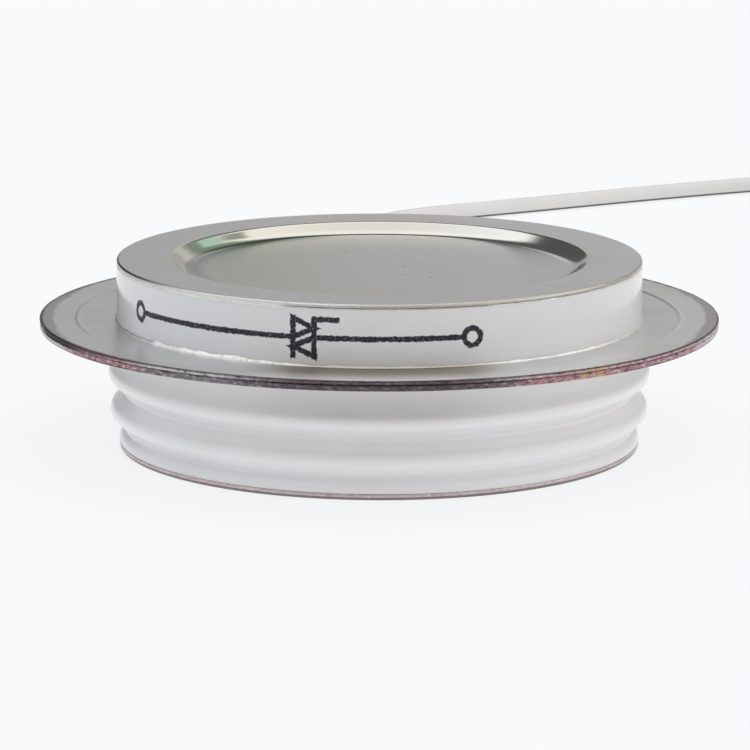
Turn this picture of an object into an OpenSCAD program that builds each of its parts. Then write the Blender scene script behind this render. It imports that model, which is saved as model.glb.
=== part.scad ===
// Disc capsule triac: a silicon wafer pressed between two copper poles inside a sealed
// ceramic body with a welded brim. A gate lead leaves through the wall of the lower
// ceramic. Millimetres, +Z up, origin at the middle of the base rim's underside, and the
// gate lead leaves towards +Y.

/* [Body] */
// Radius of the wafer and of the molybdenum disc that carries it
wafer_r = 20; // [15:0.25:30]
// Room between the wafer's edge and the bore of the ceramic
stack_room = 4.5; // [4:0.1:6]
// Wall of the ceramic rings, from their bore out to the plain band
ceramic_wall = 4.5; // [4:0.1:6]
// Height of the upper ceramic ring
upper_ceramic_h = 5.45; // [4:0.05:9]
// Height of the lower, ribbed ceramic ring
lower_ceramic_h = 12.55; // [11.5:0.05:16]
// Bevel on the corners of the ceramic rings
ceramic_bevel = 0.2; // [0.1:0.05:0.4]

/* [Ribs] */
// Distance that the lower ceramic's plain wall stands back from the upper band
wall_inset = 0.1; // [0.05:0.05:0.3]
// Distance that a rib stands out of the plain wall
rib_reach = 0.9; // [0.7:0.05:1.2]
// Depth of the grooves, from the rib crests
rib_depth = 1.3; // [1.1:0.05:1.5]
// Distance from one rib to the next
rib_pitch = 4.1; // [3.6:0.1:4.3]
// Distance from the underside of the brim down to the first crest
first_rib_drop = 5.15; // [4.6:0.05:5.5]
// Radius of the rounding at the bottom of a groove
groove_round_r = 0.5; // [0.3:0.05:0.8]
// Distance that the foot and the base cup's rim stand back from the upper band
foot_inset = 0.2; // [0.1:0.05:0.3]
// Bevel from the lowest groove to the foot
foot_bevel = 0.1; // [0.05:0.05:0.15]

/* [Brim] */
// Width of the welded brim, from the upper band to its edge
brim_w = 8.5; // [7:0.5:12]
// Thickness of the upper sheet ring, at the ceramic
lid_flange_t = 0.55; // [0.4:0.05:0.8]
// Thickness of the lower sheet ring
base_flange_t = 0.55; // [0.4:0.05:0.8]
// Width of the pressed weld seam along the brim's edge
weld_w = 4.2; // [3:0.1:5]
// Depth of the step at that seam
weld_step_t = 0.08; // [0.05:0.01:0.15]
// Distance that the sheet rings start outside the ceramic's bore
flange_setback = 0.5; // [0.2:0.1:1]
// Height and reach of the braze fillet round the foot of the band
fillet_size = 0.4; // [0.2:0.05:0.6]

/* [Cups] */
// Thickness of the lid cup's sheet
lid_sheet_t = 0.8; // [0.5:0.05:1]
// Thickness of the base cup's sheet
base_sheet_t = 1; // [0.5:0.05:1.1]
// Width of the flat rim round the dish
rim_w = 5.6; // [5.2:0.1:6]
// Depth of the dish below the rim
dish_depth = 1.3; // [1:0.05:1.6]
// Radius of the two bends between rim and dish floor
bend_r = 1.2; // [1.15:0.05:1.4]
// Rounding of the rims' outer edge
rim_round_r = 0.25; // [0.15:0.05:0.35]

/* [Wafer stack] */
// Thickness of the wafer
wafer_t = 0.5; // [0.4:0.05:0.8]
// Width of the bevel on the wafer's edge
wafer_bevel = 0.4; // [0.2:0.05:0.6]
// Thickness of the molybdenum disc under the wafer
carrier_t = 2; // [1.5:0.1:2.5]
// Thickness of the contact foil
foil_t = 0.2; // [0.1:0.05:0.3]
// Distance that the molybdenum washer on the wafer stands back from its edge
washer_inset = 1.5; // [1.3:0.1:3]
// Thickness of that washer
washer_t = 0.8; // [0.6:0.05:1.2]
// Height of the base pole's narrow top, above its shoulder
base_spigot_h = 1.9; // [1.5:0.1:2.5]
// Distance from the edge of the dish floor in to the edge of a pole
pole_setback = 0.3; // [0.1:0.05:0.6]
// Height of the lid pole's narrow foot
lid_foot_h = 0.8; // [0.6:0.1:1.5]
// Bevel on the edges of the poles
pole_bevel = 0.3; // [0.1:0.05:0.5]
// Width of the seal round the wafer's edge
seal_w = 1.4; // [1:0.1:2]
// Reach of the seal's lip over the wafer
seal_lip_w = 0.8; // [0.6:0.05:1]
// Height of that lip
seal_lip_t = 0.4; // [0.2:0.05:0.5]
// Depth of the seal below the wafer
seal_skirt_h = 1.2; // [1:0.1:1.3]

/* [Gate contact] */
// Radius of the insulating bush
bush_r = 2.4; // [2.2:0.1:3]
// Wall of the bush
bush_wall = 0.6; // [0.4:0.05:0.7]
// Length of the bush
bush_h = 7; // [6:0.1:8]
// Radius of the gate pin
pin_r = 0.75; // [0.65:0.05:0.9]
// Radius of the pin's collar
collar_r = 1.6; // [1.4:0.05:1.65]
// Thickness of the collar
collar_t = 0.5; // [0.3:0.05:0.8]
// Distance from the wafer up to the collar
collar_rise = 3.1; // [2.9:0.1:3.4]
// Length of the pin above the collar, inside the spring
pin_stub_h = 0.8; // [0.4:0.1:1.2]
// Radius of the spring wire
spring_wire_r = 0.18; // [0.1:0.02:0.2]
// Radius of the middle of the spring's turns
spring_r = 1.15; // [1.1:0.05:1.3]
// Turns of the spring
spring_turns = 5; // [4:1:7]

/* [Gate wire and tube] */
// Distance from the underside of the brim down to the gate wire
gate_drop = 2.15; // [2:0.05:2.4]
// Radius of the inner gate wire
wire_r = 0.4; // [0.3:0.05:0.5]
// Radius of the insulation on it
wire_sleeve_r = 0.8; // [0.7:0.05:0.9]
// Wall of the gate tube
tube_wall = 0.35; // [0.2:0.05:0.4]
// Length of the gate tube outside the ceramic
tube_stub = 4.5; // [4:0.1:6]
// Length of the gate tube inside the ceramic's bore
tube_inside = 0.5; // [0.3:0.1:1]
// Length of the solder plug in the tube's end
plug_l = 1; // [0.6:0.1:1.5]
// Length of the joint between the tube's end and the lead's insulation
joint_l = 3.6; // [3:0.1:5]
// Width of the braze ring round the tube
tube_braze_w = 0.55; // [0.3:0.05:0.7]
// Height of that ring above the ceramic
tube_braze_h = 0.35; // [0.2:0.05:0.5]
// Radius of the ferrule that joins wire and lead
ferrule_r = 0.85; // [0.75:0.05:0.9]
// Radius of the lead's bare core
core_r = 0.4; // [0.3:0.05:0.5]
// Wall of the strain relief sleeve over the tube
sleeve_wall = 0.5; // [0.3:0.05:0.6]
// Wall of that sleeve over the lead
sleeve_end_wall = 0.35; // [0.2:0.05:0.5]
// Length of the sleeve on the tube
sleeve_grip = 3.2; // [2.5:0.1:3.6]
// Length of the sleeve on the lead
sleeve_tail = 7; // [4:0.5:7]

/* [Gate lead] */
// Diameter of the insulated lead
lead_d = 2.3; // [2:0.1:2.4]
// Radius of the outermost turn of the coiled end
coil_r = 12; // [11.5:0.5:12.5]
// Length of bare core at the lead's far end
tip_l = 4; // [3:0.5:4]

/* [Fits] */
// Gap round pieces that slide into each other
slide_gap = 0.05; // [0.03:0.01:0.08]
// Gap round pieces that have room to move
loose_gap = 0.2; // [0.1:0.05:0.25]
// Gap between the centring ring and the ceramic
ring_gap = 0.1; // [0.05:0.05:0.2]

/* [Hidden] */
$fn = 96;

// Roundness of the bends, of the small lathe pieces and of the lead
arc_steps = 8;
small_fn = 48;
fine_fn = 720;
lead_sides = 8;

// Radii of the body, from the wafer out
washer_r = wafer_r - washer_inset;
ceramic_bore_r = wafer_r + stack_room;
flange_bore_r = ceramic_bore_r + flange_setback;
band_r = ceramic_bore_r + ceramic_wall;
wall_r = band_r - wall_inset;
rib_r = wall_r + rib_reach;
groove_r = rib_r - rib_depth;
foot_r = band_r - foot_inset;
dish_r = band_r - rim_w;
brim_r = band_r + brim_w;
weld_step_r = brim_r - weld_w;

// Levels of the body, from the base rim up
lower_ceramic_z = base_sheet_t;
base_flange_z = lower_ceramic_z + lower_ceramic_h;
lid_flange_z = base_flange_z + base_flange_t;
upper_ceramic_z = lid_flange_z + lid_flange_t;
lid_rim_z = upper_ceramic_z + upper_ceramic_h;
capsule_h = lid_rim_z + lid_sheet_t;

// Bend of the dishes: two equal arcs that turn by bend_angle and back
bend_angle = acos(1 - dish_depth / (2 * bend_r));
floor_r = dish_r - 2 * bend_r * sin(bend_angle);

// Gate line: the wire lies in a slot along the lid pole's underside
slot_half_w = wire_sleeve_r + loose_gap;
gate_z = base_flange_z - gate_drop;

// Levels of the stack between the two dish floors, from the gate line down; the poles
// fill what is left below and above
lid_pole_z = gate_z - slot_half_w;
washer_z = lid_pole_z - washer_t;
wafer_z = washer_z - wafer_t;
carrier_z = wafer_z - carrier_t;
foil_z = carrier_z - foil_t;
shoulder_z = foil_z - base_spigot_h;
stack_z = base_sheet_t + dish_depth;
stack_top = capsule_h - lid_sheet_t - dish_depth;
pole_r = floor_r - pole_setback;
seal_z = wafer_z - seal_skirt_h;
centring_ring_top = seal_z - loose_gap;

// Line of ribs: crest arcs and groove arcs of equal slope where they meet
rib_half = rib_pitch / 2;
rib_slope = 2 * atan((rib_r - groove_r) / rib_half);
crest_round_r = rib_half / sin(rib_slope) - groove_round_r;
crest_centre_r = rib_r - crest_round_r;
groove_centre_r = groove_r + groove_round_r;
first_rib_z = base_flange_z - first_rib_drop;
second_rib_z = first_rib_z - rib_pitch;
wall_fillet_dz = sqrt(
    pow(crest_round_r + groove_round_r, 2)
    - pow(wall_r + groove_round_r - crest_centre_r, 2)
);
wall_fillet_angle = atan2(wall_fillet_dz, wall_r + groove_round_r - crest_centre_r);
foot_groove_angle = acos((groove_centre_r - foot_r + foot_bevel) / groove_round_r);

// Levels of the gate contact in the lid pole's bore
bush_z = washer_z + loose_gap;
bush_top = bush_z + bush_h;
bush_bore_r = bush_r - bush_wall;
bush_roof = bush_wall;
collar_z = washer_z + collar_rise;
wire_hole_r = wire_r + slide_gap;

// Spring wire: the first and last turn lie closed and the others share what is left
spring_from = collar_z + collar_t + spring_wire_r;
spring_to = bush_top - bush_roof - spring_wire_r;
closed_pitch = 2.3 * spring_wire_r;
open_pitch = (spring_to - spring_from - 2 * closed_pitch) / (spring_turns - 2);
spring_steps = 20;
spring_sides = 6;

// Stations along +Y of what sits on the gate tube
lead_r = lead_d / 2;
tube_bore_r = wire_sleeve_r + slide_gap;
tube_r = tube_bore_r + tube_wall;
tube_start = ceramic_bore_r - tube_inside;
tube_end = wall_r + tube_stub;
lead_start = tube_end + joint_l;
plug_start = tube_end - plug_l;
ferrule_start = tube_end + loose_gap;
wire_end = ferrule_start + (lead_start - ferrule_start) / 2;
sleeve_start = tube_end - sleeve_grip;
sleeve_neck = tube_end + loose_gap;
sleeve_end = lead_start + sleeve_tail;

// Route of the gate lead, from its start: x, y, and height as a share of the way from the
// surface that the capsule stands on, 0, to the gate line, 1. It leaves its sleeve
// straight, comes down, lies on the surface and turns to the right
lead_rest_z = lead_r + 0.05;
lead_points = [
    [0, 0, 1], [0, 3.5, 1], [0, 7, 1], [0, 11, 0.98], [0, 15, 0.91], [0, 19, 0.79],
    [0, 23, 0.63], [0, 27, 0.46], [-0.2, 31, 0.3], [-0.4, 35, 0.17], [-0.7, 39, 0.08],
    [-1, 43, 0.02], [-1.4, 47.5, 0], [-1.9, 51.8, 0], [-2.5, 56.1, 0], [-3.1, 60.4, 0],
    [-3.7, 64.7, 0], [-4.3, 68.9, 0], [-4.8, 73.2, 0], [-5.1, 77.4, 0], [-5.2, 81.8, 0],
    [-5, 86.2, 0], [-4.2, 91.2, 0], [-2.9, 96.2, 0], [-1, 100.6, 0], [1.5, 104.2, 0],
    [4.6, 107.4, 0], [8.4, 110.2, 0], [12.8, 112.8, 0], [17.3, 115.4, 0],
    [21.8, 118, 0], [26.3, 120.7, 0], [30.8, 123.4, 0], [35.3, 126.1, 0],
    [39.8, 128.7, 0], [44.3, 131.2, 0], [48.9, 133.7, 0], [53.4, 136, 0],
    [57.4, 138, 0], [61.4, 139.9, 0]
];

// Coiled end of the lead: a flat spiral of touching turns, entered at coil_entry_angle
// and running clockwise; coil_gap_angle is the open sector where the lead comes in
coil_centre = [71, lead_start + 131.2];
coil_entry_angle = 115;
coil_gap_angle = 32;
coil_turns = (720 - coil_gap_angle) / 360;
coil_end_r = coil_r - lead_d * coil_turns;
coil_exit_angle = coil_entry_angle + coil_gap_angle;
coil_entry = [
    coil_centre.x + coil_r * cos(coil_entry_angle),
    coil_centre.y + coil_r * sin(coil_entry_angle),
    lead_rest_z
];

// Points of an arc about a centre, from one angle to another
function arc(centre, r, from, to, steps = arc_steps) = [
    for (i = [0:steps])
        let (a = from + (to - from) * i / steps)
        [centre.x + r * cos(a), centre.y + r * sin(a)]
];

// A list of points in the opposite order
function backwards(points) = [for (i = [len(points) - 1:-1:0]) points[i]];

// Half section of a dished disc with its rim on top: rim radius, sheet, level of the rim
function cup_section(rim_r, sheet_t, top_z) =
    let (
        upper_bend = [dish_r, top_z - bend_r],
        lower_bend = [floor_r, top_z - dish_depth + bend_r],
        face = concat(
            arc([rim_r - rim_round_r, top_z - rim_round_r], rim_round_r, 0, 90, 4),
            arc(upper_bend, bend_r, 90, 90 + bend_angle),
            arc(lower_bend, bend_r, 270 + bend_angle, 270)
        ),
        back = concat(
            arc(upper_bend, bend_r - sheet_t, 90, 90 + bend_angle),
            arc(lower_bend, bend_r + sheet_t, 270 + bend_angle, 270)
        )
    )
    concat(
        face,
        [[0, top_z - dish_depth], [0, top_z - dish_depth - sheet_t]],
        backwards(back),
        [[rim_r, top_z - sheet_t]]
    );

// Outer line of the lower ceramic, from the brim down to the foot
function rib_line() = concat(
    arc([wall_r + groove_round_r, first_rib_z + wall_fillet_dz], groove_round_r,
        180, 180 + wall_fillet_angle, 5),
    arc([crest_centre_r, first_rib_z], crest_round_r, wall_fillet_angle, -rib_slope),
    arc([groove_centre_r, first_rib_z - rib_half], groove_round_r,
        180 - rib_slope, 180 + rib_slope, 6),
    arc([crest_centre_r, second_rib_z], crest_round_r, rib_slope, -rib_slope),
    arc([groove_centre_r, second_rib_z - rib_half], groove_round_r,
        180 - rib_slope, 180 + foot_groove_angle, 6)
);

// Solid of revolution about Z from a half section
module lathe(points) {
    rotate_extrude() polygon(points);
}

// Round bar, or a cone, along the gate line from one station to another
module gate_bar(from, to, r, end_r = undef) {
    translate([0, from, gate_z])
        rotate([-90, 0, 0])
            cylinder(h = to - from, r1 = r, r2 = is_undef(end_r) ? r : end_r, $fn = small_fn);
}

// Tube along the gate line
module gate_pipe(from, to, r, bore_r) {
    difference() {
        gate_bar(from, to, r);
        gate_bar(from - 1, to + 1, bore_r);
    }
}

// Slot for the gate wire: open below, from the middle out to a radius
module wire_slot(from_z, reach) {
    translate([-slot_half_w, 0, from_z - 1])
        cube([2 * slot_half_w, reach, gate_z + slot_half_w - from_z + 1]);
}

module lid_cup() {
    color([0.64, 0.64, 0.62]) lathe(cup_section(band_r, lid_sheet_t, capsule_h));
}

module base_cup() {
    color([0.61, 0.57, 0.57])
        mirror([0, 0, 1]) lathe(cup_section(foot_r, base_sheet_t, 0));
}

module upper_ceramic_ring() {
    color([0.93, 0.93, 0.94]) lathe([
        [ceramic_bore_r, upper_ceramic_z],
        [band_r, upper_ceramic_z],
        [band_r, lid_rim_z - ceramic_bevel / 2],
        [band_r - ceramic_bevel / 2, lid_rim_z],
        [ceramic_bore_r, lid_rim_z]
    ]);
}

// Lower ceramic before the hole for the gate tube is made
module lower_ceramic_blank() {
    lathe(concat(
        [
            [ceramic_bore_r, base_flange_z],
            [wall_r - ceramic_bevel, base_flange_z],
            [wall_r, base_flange_z - ceramic_bevel]
        ],
        rib_line(),
        [
            [foot_r, lower_ceramic_z + 2 * ceramic_bevel],
            [foot_r, lower_ceramic_z],
            [ceramic_bore_r, lower_ceramic_z]
        ]
    ));
}

module lower_ceramic() {
    color([0.93, 0.93, 0.92]) difference() {
        lower_ceramic_blank();
        gate_bar(0, brim_r, tube_r + slide_gap);
    }
}

module lid_flange() {
    top_z = lid_flange_z + lid_flange_t;
    color([0.63, 0.62, 0.61]) lathe([
        [flange_bore_r, lid_flange_z],
        [brim_r, lid_flange_z],
        [brim_r, top_z - weld_step_t - lid_flange_t / 3],
        [brim_r - lid_flange_t / 3, top_z - weld_step_t],
        [weld_step_r + weld_step_t, top_z - weld_step_t],
        [weld_step_r, top_z],
        [flange_bore_r, top_z]
    ]);
}

module base_flange() {
    color([0.5, 0.47, 0.47]) lathe([
        [flange_bore_r, base_flange_z],
        [weld_step_r, base_flange_z],
        [weld_step_r + weld_step_t, base_flange_z + weld_step_t],
        [brim_r - base_flange_t / 3, base_flange_z + weld_step_t],
        [brim_r, base_flange_z + weld_step_t + base_flange_t / 3],
        [brim_r, lid_flange_z],
        [flange_bore_r, lid_flange_z]
    ]);
}

module band_braze_fillet() {
    color([0.85, 0.85, 0.86]) lathe([
        [band_r, upper_ceramic_z],
        [band_r + fillet_size, upper_ceramic_z],
        [band_r + fillet_size / 2, upper_ceramic_z + fillet_size / 5],
        [band_r + fillet_size / 5, upper_ceramic_z + fillet_size / 2],
        [band_r, upper_ceramic_z + fillet_size]
    ]);
}

module base_pole() {
    color([0.72, 0.45, 0.3]) lathe([
        [0, stack_z],
        [pole_r, stack_z],
        [pole_r, shoulder_z],
        [wafer_r, shoulder_z],
        [wafer_r, foil_z - pole_bevel],
        [wafer_r - pole_bevel, foil_z],
        [0, foil_z]
    ]);
}

module lid_pole() {
    foot_top = lid_pole_z + lid_foot_h;
    color([0.72, 0.45, 0.3]) difference() {
        lathe([
            [0, lid_pole_z],
            [washer_r, lid_pole_z],
            [washer_r, foot_top],
            [pole_r - pole_bevel, foot_top],
            [pole_r, foot_top + pole_bevel],
            [pole_r, stack_top],
            [0, stack_top]
        ]);
        translate([0, 0, lid_pole_z - 1])
            cylinder(h = bush_top - lid_pole_z + 1, r = bush_r + slide_gap, $fn = small_fn);
        wire_slot(lid_pole_z, pole_r + 1);
    }
}

module contact_foil() {
    color([0.86, 0.86, 0.84])
        translate([0, 0, foil_z]) cylinder(h = foil_t, r = wafer_r - pole_bevel);
}

module base_molybdenum_disc() {
    color([0.52, 0.53, 0.55])
        translate([0, 0, carrier_z]) cylinder(h = carrier_t, r = wafer_r);
}

module silicon_wafer() {
    color([0.24, 0.25, 0.3])
        translate([0, 0, wafer_z])
            cylinder(h = wafer_t, r1 = wafer_r, r2 = wafer_r - wafer_bevel);
}

module wafer_edge_seal() {
    color([0.87, 0.85, 0.8]) lathe([
        [wafer_r, seal_z],
        [wafer_r + seal_w, seal_z],
        [wafer_r + seal_w, washer_z],
        [wafer_r + seal_w - seal_lip_t, washer_z + seal_lip_t],
        [wafer_r - seal_lip_w, washer_z + seal_lip_t],
        [wafer_r - seal_lip_w, washer_z],
        [wafer_r - wafer_bevel, washer_z],
        [wafer_r, wafer_z]
    ]);
}

module lid_molybdenum_washer() {
    color([0.52, 0.53, 0.55]) lathe([
        [bush_r + loose_gap, washer_z],
        [washer_r, washer_z],
        [washer_r, lid_pole_z],
        [bush_r + loose_gap, lid_pole_z]
    ]);
}

module centring_ring() {
    color([0.9, 0.9, 0.88]) lathe([
        [wafer_r + slide_gap, shoulder_z],
        [ceramic_bore_r - ring_gap, shoulder_z],
        [ceramic_bore_r - ring_gap, centring_ring_top],
        [wafer_r + slide_gap, centring_ring_top]
    ]);
}

module gate_bush() {
    color([0.92, 0.9, 0.84]) difference() {
        translate([0, 0, bush_z]) cylinder(h = bush_h, r = bush_r, $fn = small_fn);
        translate([0, 0, bush_z - 1])
            cylinder(h = bush_h - bush_roof + 1, r = bush_bore_r, $fn = small_fn);
        wire_slot(bush_z, bush_r + 1);
    }
}

module gate_pin() {
    color([0.82, 0.82, 0.8]) difference() {
        lathe([
            [0, washer_z],
            [pin_r, washer_z],
            [pin_r, collar_z],
            [collar_r, collar_z],
            [collar_r, collar_z + collar_t],
            [pin_r, collar_z + collar_t],
            [pin_r, collar_z + collar_t + pin_stub_h],
            [0, collar_z + collar_t + pin_stub_h]
        ]);
        gate_bar(0, pin_r + 1, wire_hole_r);
    }
}

// Height of the spring wire's middle after a number of turns
function spring_z(turn) =
    spring_from
    + closed_pitch * min(turn, 1)
    + open_pitch * max(0, min(turn, spring_turns - 1) - 1)
    + closed_pitch * max(0, turn - (spring_turns - 1));

// Rings of points joined into one closed tube, which gate_spring and gate_lead share
module swept_tube(rings) {
    sides = len(rings[0]);
    last = len(rings) - 1;
    polyhedron(
        points = [for (ring = rings) each ring],
        faces = concat(
            [[for (j = [0:sides - 1]) j]],
            [
                for (i = [0:last - 1], j = [0:sides - 1])
                    let (k = (j + 1) % sides)
                    [i * sides + j, (i + 1) * sides + j, (i + 1) * sides + k, i * sides + k]
            ],
            [[for (j = [sides - 1:-1:0]) last * sides + j]]
        ),
        convexity = 10
    );
}

module gate_spring() {
    color([0.75, 0.75, 0.73]) swept_tube([
        for (i = [0:spring_turns * spring_steps])
            let (turn = i / spring_steps, a = 360 * turn)
            [
                for (j = [0:spring_sides - 1])
                    let (b = 360 * j / spring_sides, r = spring_r + spring_wire_r * cos(b))
                    [r * cos(a), r * sin(a), spring_z(turn) + spring_wire_r * sin(b)]
            ]
    ]);
}

module inner_gate_wire() {
    color([0.83, 0.83, 0.8]) gate_bar(0, wire_end, wire_r);
}

module inner_wire_sleeve() {
    color([0.93, 0.92, 0.88])
        gate_pipe(bush_r + loose_gap, plug_start, wire_sleeve_r, wire_hole_r);
}

module gate_tube() {
    color([0.66, 0.66, 0.64]) gate_pipe(tube_start, tube_end, tube_r, tube_bore_r);
}

module tube_braze_ring() {
    rim = tube_r + tube_braze_w;
    color([0.85, 0.85, 0.84]) difference() {
        gate_bar(wall_r - tube_braze_h, wall_r + tube_braze_h, rim);
        gate_bar(wall_r - 1, wall_r + 1, tube_r);
        lower_ceramic_blank($fn = fine_fn);
    }
}

module tube_end_seal() {
    color([0.8, 0.8, 0.82]) gate_pipe(plug_start, tube_end, tube_bore_r, wire_r);
}

module joint_ferrule() {
    color([0.8, 0.8, 0.78]) gate_pipe(ferrule_start, lead_start, ferrule_r, core_r + slide_gap);
}

module lead_core_root() {
    color([0.85, 0.85, 0.86]) gate_bar(wire_end, lead_start, core_r);
}

module lead_sleeve() {
    grip_r = tube_r + slide_gap;
    tail_r = lead_r + slide_gap;
    color([0.9, 0.9, 0.88])
        translate([0, 0, gate_z])
            rotate([-90, 0, 0])
                rotate_extrude($fn = small_fn) polygon([
                    [grip_r, sleeve_start],
                    [grip_r + sleeve_wall, sleeve_start],
                    [grip_r + sleeve_wall, tube_end],
                    [tail_r + sleeve_end_wall, tube_end + 2],
                    [tail_r + sleeve_end_wall, sleeve_end],
                    [tail_r, sleeve_end],
                    [tail_r, sleeve_neck],
                    [grip_r, sleeve_neck]
                ]);
}

// Direction of the lead at a point: from the point before it to the point after it
function lead_heading(points, i) =
    let (d = points[min(i + 1, len(points) - 1)] - points[max(i - 1, 0)])
    d / norm(d);

module gate_lead() {
    laid = [
        for (p = lead_points)
            [p.x, lead_start + p.y, lead_rest_z + p.z * (gate_z - lead_rest_z)]
    ];
    route = concat(laid, [coil_entry]);
    entry_heading = [sin(coil_entry_angle), -cos(coil_entry_angle), 0];
    color([0.88, 0.88, 0.87]) swept_tube([
        for (i = [0:len(route) - 1])
            let (
                ahead = i == 0 ? [0, 1, 0]
                    : i == len(route) - 1 ? entry_heading
                    : lead_heading(route, i),
                side = cross(ahead, [0, 0, 1]) / norm(cross(ahead, [0, 0, 1])),
                up = cross(side, ahead)
            )
            [
                for (j = [0:lead_sides - 1])
                    let (b = -360 * (j + 0.5) / lead_sides)
                    route[i] + lead_r * (cos(b) * side + sin(b) * up)
            ]
    ]);
}

module gate_lead_coil() {
    color([0.88, 0.88, 0.87])
        translate(coil_centre)
            rotate([0, 0, coil_exit_angle])
                rotate_extrude(angle = 360 - coil_gap_angle)
                    translate([coil_end_r - lead_r, 0])
                        square([coil_r - coil_end_r + lead_d, 2 * lead_rest_z]);
}

module lead_core_tip() {
    color([0.85, 0.85, 0.86])
        translate(coil_centre)
            rotate([0, 0, coil_exit_angle])
                translate([coil_end_r, 0, lead_rest_z])
                    rotate([90, 0, 0]) cylinder(h = tip_l, r = core_r, $fn = small_fn);
}

lid_cup();
upper_ceramic_ring();
lid_flange();
band_braze_fillet();
base_flange();
lower_ceramic();
base_cup();
base_pole();
lid_pole();
contact_foil();
base_molybdenum_disc();
silicon_wafer();
wafer_edge_seal();
lid_molybdenum_washer();
centring_ring();
gate_bush();
gate_pin();
gate_spring();
inner_gate_wire();
inner_wire_sleeve();
gate_tube();
tube_braze_ring();
tube_end_seal();
joint_ferrule();
lead_core_root();
lead_sleeve();
gate_lead();
gate_lead_coil();
lead_core_tip();
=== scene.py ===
"""Looks of a disc capsule triac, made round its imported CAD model.

Metres, +Z up, origin under the middle of the base rim. The gate lead leaves towards +Y
and the camera looks along +Y. Sizes below are in millimetres and go through MM once.
"""

import logging
import math
from collections.abc import Callable, Sequence
from dataclasses import dataclass
from enum import Enum

import bmesh
import bpy
import numpy as np
from mathutils import Matrix, Vector


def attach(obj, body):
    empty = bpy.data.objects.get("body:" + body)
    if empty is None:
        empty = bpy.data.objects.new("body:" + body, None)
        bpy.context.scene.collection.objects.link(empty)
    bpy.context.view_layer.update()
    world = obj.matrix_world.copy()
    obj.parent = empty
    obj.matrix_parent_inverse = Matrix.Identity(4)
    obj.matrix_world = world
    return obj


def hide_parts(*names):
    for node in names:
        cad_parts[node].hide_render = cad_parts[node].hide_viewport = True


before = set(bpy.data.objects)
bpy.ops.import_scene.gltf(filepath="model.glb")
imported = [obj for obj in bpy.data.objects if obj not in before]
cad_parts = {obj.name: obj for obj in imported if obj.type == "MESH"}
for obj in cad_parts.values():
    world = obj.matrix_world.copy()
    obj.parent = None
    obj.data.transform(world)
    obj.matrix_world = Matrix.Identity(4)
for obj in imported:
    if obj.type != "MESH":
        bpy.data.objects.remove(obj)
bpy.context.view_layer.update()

LOG = logging.getLogger("triac")
MM = 0.001
ROOT = "root"
ON_AXIS = 1e-6  # a radius below this many millimetres is a pole
MERGED = 1e-7  # points closer than this many metres become one

Point = tuple[float, float]
Corner = tuple[float, float, float]
Colour = tuple[float, float, float]
Array = np.ndarray
Moved = tuple[Array, Array]
Shape = Callable[[Array, Array, Array], Moved]
Object = bpy.types.Object
Material = bpy.types.Material
Socket = bpy.types.NodeSocket


class Slot(str, Enum):
    """The record's material slots."""

    LID_NICKEL = "lid_nickel"
    BASE_NICKEL = "base_nickel"
    BRIM_NICKEL = "brim_nickel"
    TUBE_NICKEL = "tube_nickel"
    BAND_CERAMIC = "band_ceramic"
    RIBBED_CERAMIC = "ribbed_ceramic"
    BRAZE = "braze"
    COPPER = "copper"
    SILVER = "silver"
    MOLYBDENUM = "molybdenum"
    SILICON = "silicon"
    SEAL_RUBBER = "seal_rubber"
    INSULATING_PLASTIC = "insulating_plastic"
    SPRING_STEEL = "spring_steel"
    TINNED_COPPER = "tinned_copper"
    SLEEVE_PLASTIC = "sleeve_plastic"
    LEAD_INSULATION = "lead_insulation"


Finishes = dict[Slot, Material]


# --- Node trees -----------------------------------------------------------------------


class Field:
    """A number that varies over a surface, so that shader maths reads as Python."""

    def __init__(self, bench: "Bench", socket: Socket) -> None:
        """Wraps an output socket of a tree."""
        self.bench = bench
        self.socket = socket

    def maths(self, operation: str, *terms: "Term") -> "Field":
        """Adds one Math node, whose terms are its inputs in order."""
        settings = {"operation": operation}
        return self.bench.field("ShaderNodeMath", settings, dict(enumerate(terms)))

    def __add__(self, other: "Term") -> "Field":
        """Sum."""
        return self.maths("ADD", self, other)

    __radd__ = __add__

    def __sub__(self, other: "Term") -> "Field":
        """Difference."""
        return self.maths("SUBTRACT", self, other)

    def __rsub__(self, other: "Term") -> "Field":
        """Difference, with this value taken from the other."""
        return self.maths("SUBTRACT", other, self)

    def __mul__(self, other: "Term") -> "Field":
        """Product."""
        return self.maths("MULTIPLY", self, other)

    __rmul__ = __mul__

    def __truediv__(self, other: "Term") -> "Field":
        """Quotient."""
        return self.maths("DIVIDE", self, other)

    def __abs__(self) -> "Field":
        """Size without the sign."""
        return self.maths("ABSOLUTE", self)

    def __neg__(self) -> "Field":
        """Opposite."""
        return self.maths("MULTIPLY", self, -1.0)

    def root(self) -> "Field":
        """Square root."""
        return self.maths("SQRT", self)

    def lower(self, other: "Term") -> "Field":
        """The lower of two values."""
        return self.maths("MINIMUM", self, other)

    def upper(self, other: "Term") -> "Field":
        """The higher of two values."""
        return self.maths("MAXIMUM", self, other)

    def rise(self, start: float, end: float) -> "Field":
        """Smooth step.

        Args:
            start: Value at which the result is 0.
            end: Value at which the result is 1, which may lie below start.

        Returns:
            The step, from 0 to 1.
        """
        settings = {"interpolation_type": "SMOOTHSTEP"}
        if start < end:
            return self.bench.field("ShaderNodeMapRange", settings, {0: self, 1: start, 2: end})
        return 1 - self.bench.field("ShaderNodeMapRange", settings, {0: self, 1: end, 2: start})


Term = Field | float | int


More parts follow.
